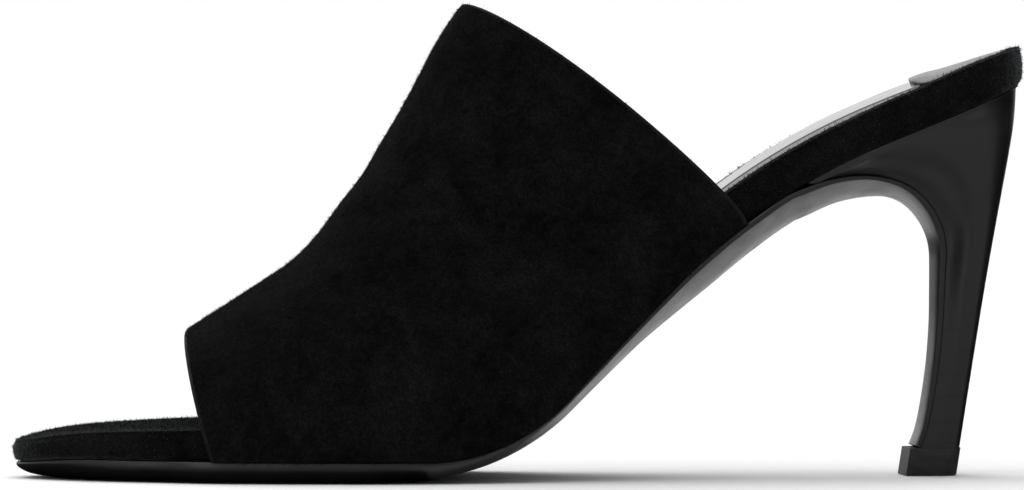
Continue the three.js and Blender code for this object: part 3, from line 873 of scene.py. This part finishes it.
def heel_half(column, share):
    """Half the breadth of the heel at its side or its breast, a share of the way down."""
    stem = HEEL_SECTIONS[-1][column]
    narrowed = (read(HEEL_SECTIONS, column, share) - stem) / (1 - stem)
    return lerp(STEM_WIDTH / 2, SEAT_WIDTH / 2, narrowed)


def breast_share(s):
    return clamp((s - WEDGE_START) / (SOLE.s - WEDGE_START))


def sole_edge(s):
    """y of the sole's outer and inner edge, with its ledge beside the upper and its narrow flap."""
    outer, inner = bed_edge(min(s, WEDGE_START))
    onset = (s - UPPER_FRONT + LEDGE_AHEAD) / LEDGE_EASE
    fade = (UPPER_BACK + LEDGE_EASE - s) / LEDGE_EASE
    ledge = SOLE_LEDGE * ease(onset) * ease(fade)
    narrow = heel_half("breast", breast_share(s)) / heel_half("breast", 0)
    middle = (outer + inner) / 2 * narrow
    half = ((inner - outer) / 2 + ledge) * narrow
    return middle - half, middle + half


def sole_thickness(s):
    """The sole's thickness in the middle and at its edge. On the floor it reaches down to it."""
    at = s / SOLE.s
    full = SOLE_EDGE * read(SOLE_PROFILE, "full", at)
    _, z, heading = SOLE.at(s)
    on_floor = z / math.cos(heading)
    if s <= FLAT_END:
        full = on_floor
    elif s < WEDGE_START:
        full = min(full, on_floor)
    from_toe = clamp(s / (TOE_ROUNDING / 2))
    edge = SOLE_EDGE * read(SOLE_PROFILE, "edge", at) * lerp(TOE_EDGE_SHARE, 1, from_toe)
    return full, edge * lerp(1, WAIST_EDGE_SHARE, waist_share(s))


def forefoot_share(s):
    """How far a place is on the forefoot, where the sole lies flat and turns up at its edge."""
    return clamp((FLAT_END - s) / TURN_CHANGE_LENGTH + 0.5)


def waist_share(s):
    """How far a place is in the waist, where the sole's edge is thin over a round bottom."""
    start, end = WAIST_ENDS
    return ease((s - FLAT_END) / WAIST_ONSET) * ease((end - s / SOLE.s) / (end - start))


def make_outsole():
    lengths = stations(0, FLAT_END, FOREFOOT_STATIONS, True, False)
    lengths += stations(FLAT_END, SOLE.s, WAIST_STATIONS, False, False)[1:]
    loop = outline_loop(lengths, sole_edge)

    def turn_inset(s, way):
        outer, inner = sole_edge(s)
        taper = 1 + clamp(1 - s / TOE_ROUNDING)
        turned = lerp((inner - outer) / 2 * WAIST_TURN_SHARE, TOE_TURN * taper, forefoot_share(s))
        return min(turned, TOE_ROUNDING * WIDEST_TURN_SHARE) * way

    def bottom_ring(way, lift=0.0):
        ring = []
        for s, y in draw_in(loop, lambda s: turn_inset(s, way), True):
            full, edge = sole_thickness(s)
            turned = lerp(read(SOLE_TURN, "depth", way), read(WAIST_TURN, "depth", way), waist_share(s))
            ring.append(place(SOLE, s, y, -lerp(min(edge, full), full, turned) + lift))
        return np.array(ring)

    def top_ring(inset, height):
        drawn = draw_in(loop, lambda s: inset, True)
        return np.array([place(SOLE, s, y, height) for s, y in drawn])

    rings = [bottom_ring(way) for way in SOLE_RING_WAYS]
    rings.append(bottom_ring(0, SOLE_CORNER_LOW))
    rings.append(top_ring(0, -SOLE_CORNER_TOP))
    rings.append(top_ring(SOLE_CORNER_TOP, 0))
    piece = loft("outsole_leather", rings, SOLE_LEATHER)
    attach(piece, "root")
    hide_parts("outsole")


def make_heel():
    bed = bed_edge(WEDGE_START)

    def seat_ring():
        shares = stations(0, 1, HEEL_RING_HALF, False, True)

        def point(q, sign):
            length = lerp(WEDGE_START, BOTTOM_LENGTH - HEEL_BACK_INSET, q)
            outer, inner = bed_edge(length)
            half = 0 if q == 1 else max((inner - outer) / 2 - SEAT_INSET, 0)
            return place(BOTTOM, length, (outer + inner) / 2 + sign * half, 0)

        return np.array([point(q, -1) for q in shares] + [point(q, 1) for q in reversed(shares)])

    rings = [seat_ring()]
    # The first ring lies close under the seat, so that the heel starts out as wide as its seat.
    for share in [FIRST_HEEL_RING] + [i / HEEL_RINGS for i in range(1, HEEL_RINGS + 1)]:
        s = lerp(WEDGE_START, SOLE.s, share)
        x, _, z = place(SOLE, s, 0, GLUE_LINE)
        back = heel_back(read(HEEL_SECTIONS, "back", share), LIFT_HEIGHT + CLEARANCE)
        narrow = heel_half("breast", share) / heel_half("breast", 0)
        breast_half = (bed[1] - bed[0]) / 2 * narrow
        side_half = heel_half("side", share)
        squareness = lerp(HEEL_SQUARENESS, SIDE_SQUARENESS, ease(share / SQUARED_AT))
        rings.append(heel_section((x, z), back, breast_half, side_half, HEEL_RING_HALF, squareness))
    piece = loft("heel_block", rings, STACKED_HEEL)
    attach(piece, "root")
    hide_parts("heel")


def make_top_lift():
    piece = loft("top_lift_rubber", lift_rings(LIFT_RING_HALF, soft=0.3), LIFT_RUBBER)
    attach(piece, "root")
    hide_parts("top_lift")


RIM_END_INSET = FOOTBED_RIM[-1]["inset"]
RECESS_DEPTH = SOCK_THICKNESS * 0.9
COVER_INSET = RIM_END_INSET * FOOTBED_THICKNESS + 3 * CLEARANCE
SOCK_START = UPPER_FRONT + SOCK_BEHIND_FRONT
RECESS_RUN = 8

# The wrap's last rings, where it dips under the sock: mm further in, and share of the recess.
RECESS_STEPS = ((0.3, 0.5), (0.5, 1))


def bump_up(distance, length):
    """A soft hump that is 1 in its middle and has mostly gone at length from it."""
    return math.exp(-((distance / length) ** 2))


def make_footbed():
    """Makes the wrapped footbed and gives its rings from below to above, for the loose fibres."""
    loop = outline_loop(stations(0, BOTTOM_LENGTH, BED_STATIONS, True, True), bed_edge)

    def layer(inset, height, raised):
        drawn = draw_in(loop, inset)
        return np.array([on_bed(s, y, height(s) + near_lift(s, y) * raised) for s, y in drawn])

    rings = []
    for i in range(RIM_RINGS + 1):
        way = i / RIM_RINGS
        ridge = sum(row["rise"] * bump_up(way - row["at"], row["width"]) for row in WRAP_RIDGE)
        ridge *= RIDGE_STRENGTH
        inset = read(FOOTBED_RIM, "inset", way)
        height = read(FOOTBED_RIM, "height", way)
        rings.append(layer(
            lambda s: inset * bed_thickness(s) * softening(s) - ridge,
            lambda s: lerp(TOUCH, bed_thickness(s), height) + ridge,
            height,
        ))
    # The wrap dips under the sock lining and is level with it in front.
    for further, share in RECESS_STEPS:
        depth = RECESS_DEPTH * share
        rings.append(layer(
            lambda s: (RIM_END_INSET * bed_thickness(s) + further) * softening(s),
            lambda s: bed_thickness(s) - depth * ease((s - SOCK_START + RECESS_RUN) / RECESS_RUN),
            1 - share,
        ))
    piece = loft("footbed_wrap", rings, WRAP_SUEDE, sharp=70)
    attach(piece, "root")
    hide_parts("footbed")
    return np.array(rings)


def cover_outline(start, end, inset, rounding, count):
    """The outline of a cover on the footbed, inset mm inside it, with a round front and back."""
    lengths = stations(start, end, count, True, True)

    def edge(s):
        outer, inner = bed_edge(min(s, BOTTOM_LENGTH - HEEL_ROUNDING))
        half = (inner - outer) / 2 - inset
        front = round_off(1 - (s - start) / rounding, COVER_SQUARENESS)
        back = round_off(1 - (end - s) / (HEEL_ROUNDING - inset), HEEL_SQUARENESS)
        middle = (outer + inner) / 2
        return middle - half * front * back, middle + half * front * back

    return outline_loop(lengths, edge)


def sock_rise(s, y):
    """How far the foam lifts the sock and what lies on it."""
    outer, inner = bed_edge(min(s, BOTTOM_LENGTH - HEEL_ROUNDING))
    at = s / BOTTOM_LENGTH
    across = clamp((y - outer) / (inner - outer))
    return lerp(read(SOCK_RISE, "outer", at), read(SOCK_RISE, "inner", at), across)


def cover_rings(loop, base, border, rise):
    """Rings of a cover that lies base mm over the footbed and whose border is a table of rings."""
    rings = []
    for inset, height in border:
        drawn = draw_in(loop, lambda s: inset)
        ring = [on_bed(s, y, bed_thickness(s) + base + height + rise(s, y, height)) for s, y in drawn]
        rings.append(np.array(ring))
    return rings


def make_sock():
    loop = cover_outline(
        SOCK_START, BOTTOM_LENGTH - COVER_INSET, COVER_INSET, SOCK_FRONT_ROUNDING, SOCK_STATIONS
    )
    rings = cover_rings(loop, TOUCH - RECESS_DEPTH, PRESSED_BORDER, lambda s, y, height: sock_rise(s, y))
    piece = loft("sock_lining_leather", rings, SOCK_LEATHER)
    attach(piece, "root")
    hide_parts("sock_lining")


def make_heel_pad():
    inset = COVER_INSET + PAD_BORDER
    start = BOTTOM_LENGTH - PAD_LENGTH
    loop = cover_outline(start, BOTTOM_LENGTH - inset, inset, PAD_FRONT_ROUNDING, PAD_STATIONS)
    # Its front edge is cut a little askew, further forward at the outer side.
    loop[:, 0] += PAD_SLANT * loop[:, 1] * (BOTTOM_LENGTH - inset - loop[:, 0]) / PAD_LENGTH
    outer_side = loop[:, 1].min()

    def rise(s, y, height):
        if height <= 0:
            return sock_rise(s, y)
        # The front edge of the pad has come up a little, and the foam behind it with it.
        behind = s - start - PAD_SLANT * y
        rolled = PAD_ROLL["height"] * bump_up(behind, PAD_ROLL["length"])
        rolled *= ease((PAD_ROLL["inner_side"] - y) / PAD_ROLL["fade"])
        lifted = PAD_LIFT["height"] * bump_up(behind, PAD_LIFT["length"])
        lifted *= ease((y - outer_side) / PAD_LIFT["fade"])
        return sock_rise(s, y) + rolled + lifted

    rings = cover_rings(loop, TOUCH - RECESS_DEPTH + PAD_ON_SOCK, SOFT_BORDER, rise)
    piece = loft("heel_pad_leather", rings, PAD_LEATHER)
    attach(piece, "root")
    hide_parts("heel_pad")


def upper_section(share, offset, drop):
    """One section of the upper, offset mm inside its outer face, from outer foot to inner foot."""
    row = [read(UPPER_SECTIONS, column, share) for column in UPPER_COLUMNS.split()[1:]]
    rise, lean, swing, crest, full, square, bow = row
    s = lerp(UPPER_FRONT, UPPER_BACK, share)
    out = 2 * CLEARANCE + UPPER_WALL

    def foot(side):
        shifted = s + bed_edge(s)[side] * math.tan(swing * DEGREE)
        sign = -1 if side == 0 else 1
        return place(BOTTOM, shifted, bed_edge(shifted)[side] + sign * out, CLEARANCE)

    outer_foot, inner_foot = foot(0), foot(1)
    middle = (outer_foot + inner_foot) / 2
    sideways = (inner_foot - outer_foot) / 2
    half = np.linalg.norm(sideways)
    sideways = sideways / half
    lean *= DEGREE
    up = np.array((-math.sin(lean), 0, math.cos(lean)))
    heelward = np.array((math.cos(lean), 0, math.sin(lean)))
    # A rounded arch from foot to foot, with its crest moved sideways and its outer side fuller.
    turn = np.linspace(0, math.pi, UPPER_ACROSS)
    cosine = np.cos(turn)
    cosine[0], cosine[-1] = 1, -1
    sine = np.maximum(np.sin(turn), 0)
    sine[-1] = 0
    across = np.sign(cosine) * np.abs(cosine) ** (2 / square)
    y = -across * half + (1 - np.abs(across)) * crest * BALL_WIDTH - full * BALL_WIDTH * np.sin(2 * turn)
    bowed = bow * BALL_WIDTH * sine**FOOT_BOW * np.abs(cosine) ** CREST_BOW
    face = middle + np.outer(y, sideways) + np.outer(bowed, heelward)
    face = face + np.outer(sine * (rise * INSTEP_HEIGHT - CLEARANCE), up)
    facing = np.cross(sideways, up)
    along = np.empty_like(face)
    along[1:-1] = face[2:] - face[:-2]
    along[0], along[-1] = up, -up
    inward = -np.cross(along, facing)
    inward /= np.linalg.norm(inward, axis=1)[:, None]
    face = face - inward * offset
    face[0] -= up * drop
    face[-1] -= up * drop
    return face


# The band over the foot: mm from its front to its back edge, the skived border of its skin in mm,
# and how square its rounded edges are.
BAND_LENGTH = 118
BAND_BORDER = 0.15
BAND_EDGE_SQUARENESS = 0.45


def band_steps(outside, inside, margin):
    """The band's rings, back along its outer face and forth along its inner one: share and mm inside."""
    radius = (inside - outside) / 2
    per_mm = 1 / BAND_LENGTH
    front = margin + radius
    back = BAND_LENGTH - margin - radius
    turns = [i / EDGE_STEPS * math.pi for i in range(1, EDGE_STEPS)]

    def edge_inset(turn):
        return (margin + radius * (1 - math.sin(turn) ** BAND_EDGE_SQUARENESS)) * per_mm

    steps = []
    for i in range(UPPER_RINGS + 1):
        # The skived border of the skin is a row of its own at both edges.
        share = clamp((i - 1) / (UPPER_RINGS - 2))
        step = {0: -BAND_BORDER, UPPER_RINGS: BAND_BORDER}.get(i, 0)
        along = lerp(front + BAND_BORDER, back - BAND_BORDER, share) + step
        steps.append((along * per_mm, outside))
    for turn in turns:
        steps.append((1 - edge_inset(turn), outside + radius * (1 - math.cos(turn))))
    for i in range(UPPER_RINGS + 1):
        steps.append((lerp(back, front, i / UPPER_RINGS) * per_mm, inside))
    for turn in reversed(turns):
        steps.append((edge_inset(turn), outside + radius * (1 - math.cos(turn))))
    return steps


def band_faces(count):
    """Quads round the band, and each foot closed by a strip between its outer and its inner face."""
    size = UPPER_ACROSS
    faces = []
    for r in range(count):
        following = (r + 1) % count
        for i in range(size - 1):
            faces.append((r * size + i, r * size + i + 1, following * size + i + 1, following * size + i))
    bend = EDGE_STEPS - 1
    opposite = [2 * UPPER_RINGS + 1 + bend - k for k in range(UPPER_RINGS + 1)]
    for end in (0, size - 1):
        for k in range(UPPER_RINGS):
            faces.append([i * size + end for i in (k, k + 1, opposite[k + 1], opposite[k])])
        faces.append([i * size + end for i in range(UPPER_RINGS, UPPER_RINGS + bend + 2)])
        faces.append([i * size + end for i in [*range(opposite[0], count), 0]])
    return faces


def make_band(name, outside, inside, margin, finish, drop, trim=None):
    """A band of leather over the foot, with both long edges rounded like a cut or folded hide.

    Outside and inside are mm within the upper's face, margin is how far it keeps from the upper's
    edges, and drop is how far its feet reach down beside the footbed."""
    rings = [upper_section(share, offset, drop) for share, offset in band_steps(outside, inside, margin)]
    count = len(rings)
    border = [0, *range(UPPER_RINGS - 1, UPPER_RINGS + EDGE_STEPS), *range(count - EDGE_STEPS, count)]
    trimmed = [r * (UPPER_ACROSS - 1) + i for r in border for i in range(UPPER_ACROSS - 1)] if trim else ()
    points = np.concatenate(rings)
    piece = lay_out(points, band_faces(count), name, finish, sharp=60, trim=trim, trimmed=trimmed)
    return piece, rings[: UPPER_RINGS + 1]


def make_upper():
    """Makes the suede and its lining, and gives the suede's outer rings for the loose fibres."""
    suede, outer_rings = make_band(
        "upper_suede", outside=0.0, inside=1.15, margin=0.0, finish=SUEDE, drop=0.2, trim=CUT_EDGE
    )
    lining, _ = make_band("upper_lining", outside=1.2, inside=1.75, margin=0.9, finish=LINING, drop=0.1)
    for piece in (suede, lining):
        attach(piece, "root")
    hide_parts("upper")
    return np.array(outer_rings)


# The nap's fibres, brushed flat or standing away: the least of each measure and how much more it
# can be. Lift is the angle off the face, and length and width are mm.
FLAT_FIBRE = {"lift": (0.06, 0.3), "length": (0.4, 1.2), "width": (0.08, 0.12)}
STRAY_FIBRE = {"lift": (0.5, 0.9), "length": (0.35, 0.85), "width": (0.1, 0.1)}
STRAY_RARITY = 2.5
BRUSHED = np.array((0.3, 0.0, -0.6))
FIBRE_ROOT = 0.03


def scatter(grid, count, dice):
    """Random places on the cells of a grid of points, evenly by area, and the cells' normals."""
    a, b, c, d = grid[:-1, :-1], grid[1:, :-1], grid[1:, 1:], grid[:-1, 1:]
    cross = np.cross(c - a, d - b) / 2
    area = np.linalg.norm(cross, axis=-1)
    weight = (area / area.sum()).ravel()
    cell = dice.choice(weight.size, size=count, p=weight)
    u, v = dice.random(count)[:, None], dice.random(count)[:, None]
    a, b, c, d = [part.reshape(-1, 3)[cell] for part in (a, b, c, d)]
    root = (a * (1 - u) + b * u) * (1 - v) + (d * (1 - u) + c * u) * v
    normal = cross.reshape(-1, 3)[cell]
    return root, normal / np.linalg.norm(normal, axis=1)[:, None]


def sow_nap(name, grid, finish, count, seed, stray_share):
    """Loose fibres on a napped face, most of them brushed flat, and some that stand away from it."""
    dice = np.random.default_rng(seed)
    root, normal = scatter(grid, count, dice)
    lie = dice.normal(size=(count, 3)) + BRUSHED
    lie -= normal * (lie * normal).sum(axis=1)[:, None]
    lie /= np.linalg.norm(lie, axis=1)[:, None]
    stray = (dice.random(count) < stray_share)[:, None]

    def measure(what, flat_draw, stray_draw):
        flat_least, flat_more = FLAT_FIBRE[what]
        stray_least, stray_more = STRAY_FIBRE[what]
        return np.where(stray, stray_least + stray_more * stray_draw, flat_least + flat_more * flat_draw)

    slope = dice.random(count)[:, None]
    lift = measure("lift", slope, slope)
    aim = lie * np.cos(lift) + normal * np.sin(lift)
    reach = dice.random(count)[:, None]
    length = measure("length", reach, reach**STRAY_RARITY)
    side = np.cross(aim, normal)
    side /= np.linalg.norm(side, axis=1)[:, None].clip(1e-9)
    thick = dice.random(count)[:, None]
    width = measure("width", thick, thick)
    base = root - normal * FIBRE_ROOT
    # Each fibre is one slim triangle.
    points = np.stack([base - side * width / 2, base + side * width / 2, base + aim * length], axis=1)
    mesh = bpy.data.meshes.new(name)
    mesh.vertices.add(count * 3)
    mesh.vertices.foreach_set("co", ((points.reshape(-1, 3) + SHIFT) * MM).ravel())
    mesh.loops.add(count * 3)
    mesh.loops.foreach_set("vertex_index", np.arange(count * 3))
    mesh.polygons.add(count)
    mesh.polygons.foreach_set("loop_start", np.arange(0, count * 3, 3))
    mesh.update(calc_edges=True)
    mesh.materials.append(finish)
    piece = put(name, mesh)
    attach(piece, "root")


def outward(grid, inside):
    """Turns a grid so that its faces look away from a point inside it."""
    cross = np.cross(grid[1:, 1:] - grid[:-1, :-1], grid[:-1, 1:] - grid[1:, :-1])
    middle = grid[:-1, :-1] - inside
    return grid if (cross * middle).sum() > 0 else grid[::-1]


# The napped part of the footbed's top: its share of the length in front, and its rows across.
TOE_TOP_SHARE = 0.35
TOE_TOP_ROWS = 12
BELOW_TOE = np.array((0, 0, 40))


def sow_toe_nap(rim):
    """Fibres on the bare toe of the footbed, between the outer and the inner side of its top ring."""
    count = int(rim.shape[1] // 2 * TOE_TOP_SHARE)
    outer, inner = rim[-1, :count], rim[-1, ::-1][:count]
    shares = [k / (TOE_TOP_ROWS - 1) for k in range(TOE_TOP_ROWS)]
    top = np.array([outer * (1 - share) + inner * share for share in shares])
    grid = outward(top, top.mean(axis=(0, 1)) - BELOW_TOE)
    sow_nap("toe_nap", grid, WRAP_NAP, count=50000, seed=5, stray_share=0.14)


def sow_side_nap(rim):
    """Fibres round the sides of the wrap, from above its lower edge to its recess."""
    side = rim[2 : RIM_RINGS + 2]
    side = np.concatenate([side, side[:, :1]], axis=1)
    grid = outward(side, side.mean(axis=(0, 1)))
    sow_nap("footbed_nap", grid, WRAP_NAP, count=60000, seed=11, stray_share=0.18)


def make_shoe():
    make_outsole()
    make_heel()
    make_top_lift()
    rim = make_footbed()
    make_sock()
    make_heel_pad()
    outer_rings = make_upper()
    grid = outward(outer_rings, outer_rings.mean(axis=(0, 1)))
    sow_nap("upper_nap", grid, NAP, count=180000, seed=7, stray_share=0.16)
    sow_toe_nap(rim)
    sow_side_nap(rim)


make_shoe()


# the studio


# Half of the floor's side in metres.
FLOOR_HALF = 30

# The cards on the floor, in metres, for a polished face to reflect: painted reflections of shade, seen in
# polished faces alone. The sole's waist and the heel's breast show a bright band between the dark ones.
CARD_HEIGHT = 0.0004
SHADE_REFLECTION_CARD_FOREFOOT = [(-6, -6), (-0.62, -6), (0.58, 6), (-6, 6)]
SHADE_REFLECTION_CARD_HEEL = [(0.1, 0.0), (6, -1.3), (6, 4), (2.6, 5.8), (0.15, 0.12)]
HALF_SHADE_REFLECTION_CARD_HEEL = [(0.05, -6), (6, -6), (6, -1.3), (0.1, 0.0), (0.05, 0.0)]


def lay_sheet(name, stuff, shade, corners, height=0.0):
    """A flat matt sheet that lies height metres over the floor."""
    made, tree = start_finish(stuff)
    finish_off(tree, {"Base Color": colour(shade), "Roughness": 0.9, "Specular IOR Level": 0.0})
    mesh = bpy.data.meshes.new(name)
    mesh.from_pydata([(x, y, height) for x, y in corners], [], [range(len(corners))])
    mesh.materials.append(made)
    return put(name, mesh)


def make_floor():
    # Painted studio floor, rolled matt white: even, with no gloss.
    corners = [(x * FLOOR_HALF, y * FLOOR_HALF) for x, y in ((-1, -1), (1, -1), (1, 1), (-1, 1))]
    floor = lay_sheet("studio_floor", "matt white studio paint", "#fbfbfb", corners)


def make_softbox(name, place_at, aim_at, width, power):
    """A square softbox that stands at one place and is aimed at another."""
    lamp = bpy.data.lights.new(name, "AREA")
    lamp.size = width
    lamp.energy = power
    made = put(name, lamp)
    away = Vector(aim_at) - Vector(place_at)
    made.location = place_at
    made.rotation_euler = away.to_track_quat("-Z", "Y").to_euler()


def make_skylight(name, from_way, strength, spread):
    """A broad even light from one way, as from a lit ceiling."""
    lamp = bpy.data.lights.new(name, "SUN")
    lamp.energy = strength
    lamp.angle = spread * DEGREE
    made = put(name, lamp)
    made.rotation_euler = (-Vector(from_way)).to_track_quat("-Z", "Y").to_euler()


def make_sky():
    """Soft light from all round: bright from above and behind, dim from the front and the heel's side."""
    world = bpy.data.worlds.new("white studio")
    world.use_nodes = True
    tree = world.node_tree
    tree.nodes.clear()
    way = add(tree, "ShaderNodeTexCoord")
    parts = add(tree, "ShaderNodeSeparateXYZ", None, {"Vector": way.outputs["Generated"]})

    def rise(axis, low, high):
        return spread(tree, parts.outputs[axis], (low, high), (0.0, 1.0), "SMOOTHSTEP")

    bright = reckon(tree, "MAXIMUM", rise("Y", 0.5, 0.85), rise("Z", 0.4, 0.9))
    lit = reckon(tree, "MAXIMUM", bright, 0.42)
    # A dark corner of the studio beyond the heel, which shows in the round of its back.
    beyond = reckon(tree, "MULTIPLY", rise("X", 0.3, 0.45), rise("Y", -0.3, -0.12))
    corner = reckon(tree, "MULTIPLY", beyond, rise("Y", 0.92, 0.84))
    all_round = reckon(tree, "MULTIPLY", lit, reckon(tree, "SUBTRACT", 1.0, corner))
    # The backdrop itself is plain white.
    seen = add(tree, "ShaderNodeLightPath")
    shown = reckon(tree, "MAXIMUM", all_round, seen.outputs["Is Camera Ray"])
    light = add(tree, "ShaderNodeBackground", None, {"Color": (1, 1, 1, 1), "Strength": shown})
    add(tree, "ShaderNodeOutputWorld", None, {"Surface": light.outputs["Background"]})
    bpy.context.scene.world = world


def make_shade_reflection_card(name, outline, shade):
    # A matt card just over the floor. It shows in polished faces alone, and is hidden from the camera,
    # from other light and from shadows: a painted reflection of shade.
    card = lay_sheet(name, name, shade, outline, CARD_HEIGHT)
    card.visible_camera = False
    card.visible_diffuse = False
    card.visible_shadow = False


def make_studio():
    make_floor()
    make_sky()
    # Dark and grey sheets seen only in reflections: painted shade in the polished faces of the sole and
    # the heel.
    make_shade_reflection_card("painted_shade_reflection_forefoot", SHADE_REFLECTION_CARD_FOREFOOT, "#343434")
    make_shade_reflection_card("painted_shade_reflection_heel", SHADE_REFLECTION_CARD_HEEL, "#0a0a0a")
    make_shade_reflection_card("painted_half_shade_reflection_heel", HALF_SHADE_REFLECTION_CARD_HEEL, "#b4b4b4")
    make_skylight("overhead_light", from_way=(-0.15, 0.4, 1), strength=1.5, spread=70)
    make_softbox("front_softbox", (-1.3, -1.2, 0.9), aim_at=(0, 0, 0.04), width=0.8, power=3)
    scene = bpy.context.scene
    scene.view_settings.view_transform = "Standard"
    scene.view_settings.look = "None"


# The photograph's frame in pixels, and where its camera stands, in metres. LEVEL_POINT_PX is the
# point of the picture that lies straight ahead of the camera, at its own height.
PICTURE_PX = (1024, 490)
FOCAL_PX = 9450
LEVEL_POINT_PX = (520, 71.8)
CAMERA_AZIMUTH = 5.7 * DEGREE
CAMERA_DISTANCE = 2.1
CAMERA_HEIGHT = 0.09
SENSOR_MM = 36


def make_camera():
    """The photograph's view: from the outer side, a hand's breadth off the floor, with a long lens."""
    level = Vector((math.sin(CAMERA_AZIMUTH), math.cos(CAMERA_AZIMUTH), 0))
    right = Vector((level.y, -level.x, 0))
    across = PICTURE_PX[0] / 2 - LEVEL_POINT_PX[0]
    down = PICTURE_PX[1] / 2 - LEVEL_POINT_PX[1]
    aim = level * FOCAL_PX + right * across - Vector((0, 0, 1)) * down
    lens = bpy.data.cameras.new("photo_camera")
    lens.sensor_width = SENSOR_MM
    lens.lens = SENSOR_MM * FOCAL_PX / PICTURE_PX[0]
    lens.clip_start = 0.05
    lens.clip_end = 100
    lens.dof.use_dof = False
    camera = put("photo_camera", lens)
    camera.location = -level * CAMERA_DISTANCE + Vector((0, 0, CAMERA_HEIGHT))
    camera.rotation_euler = aim.to_track_quat("-Z", "Y").to_euler()
    bpy.context.scene.camera = camera


make_camera()
make_studio()
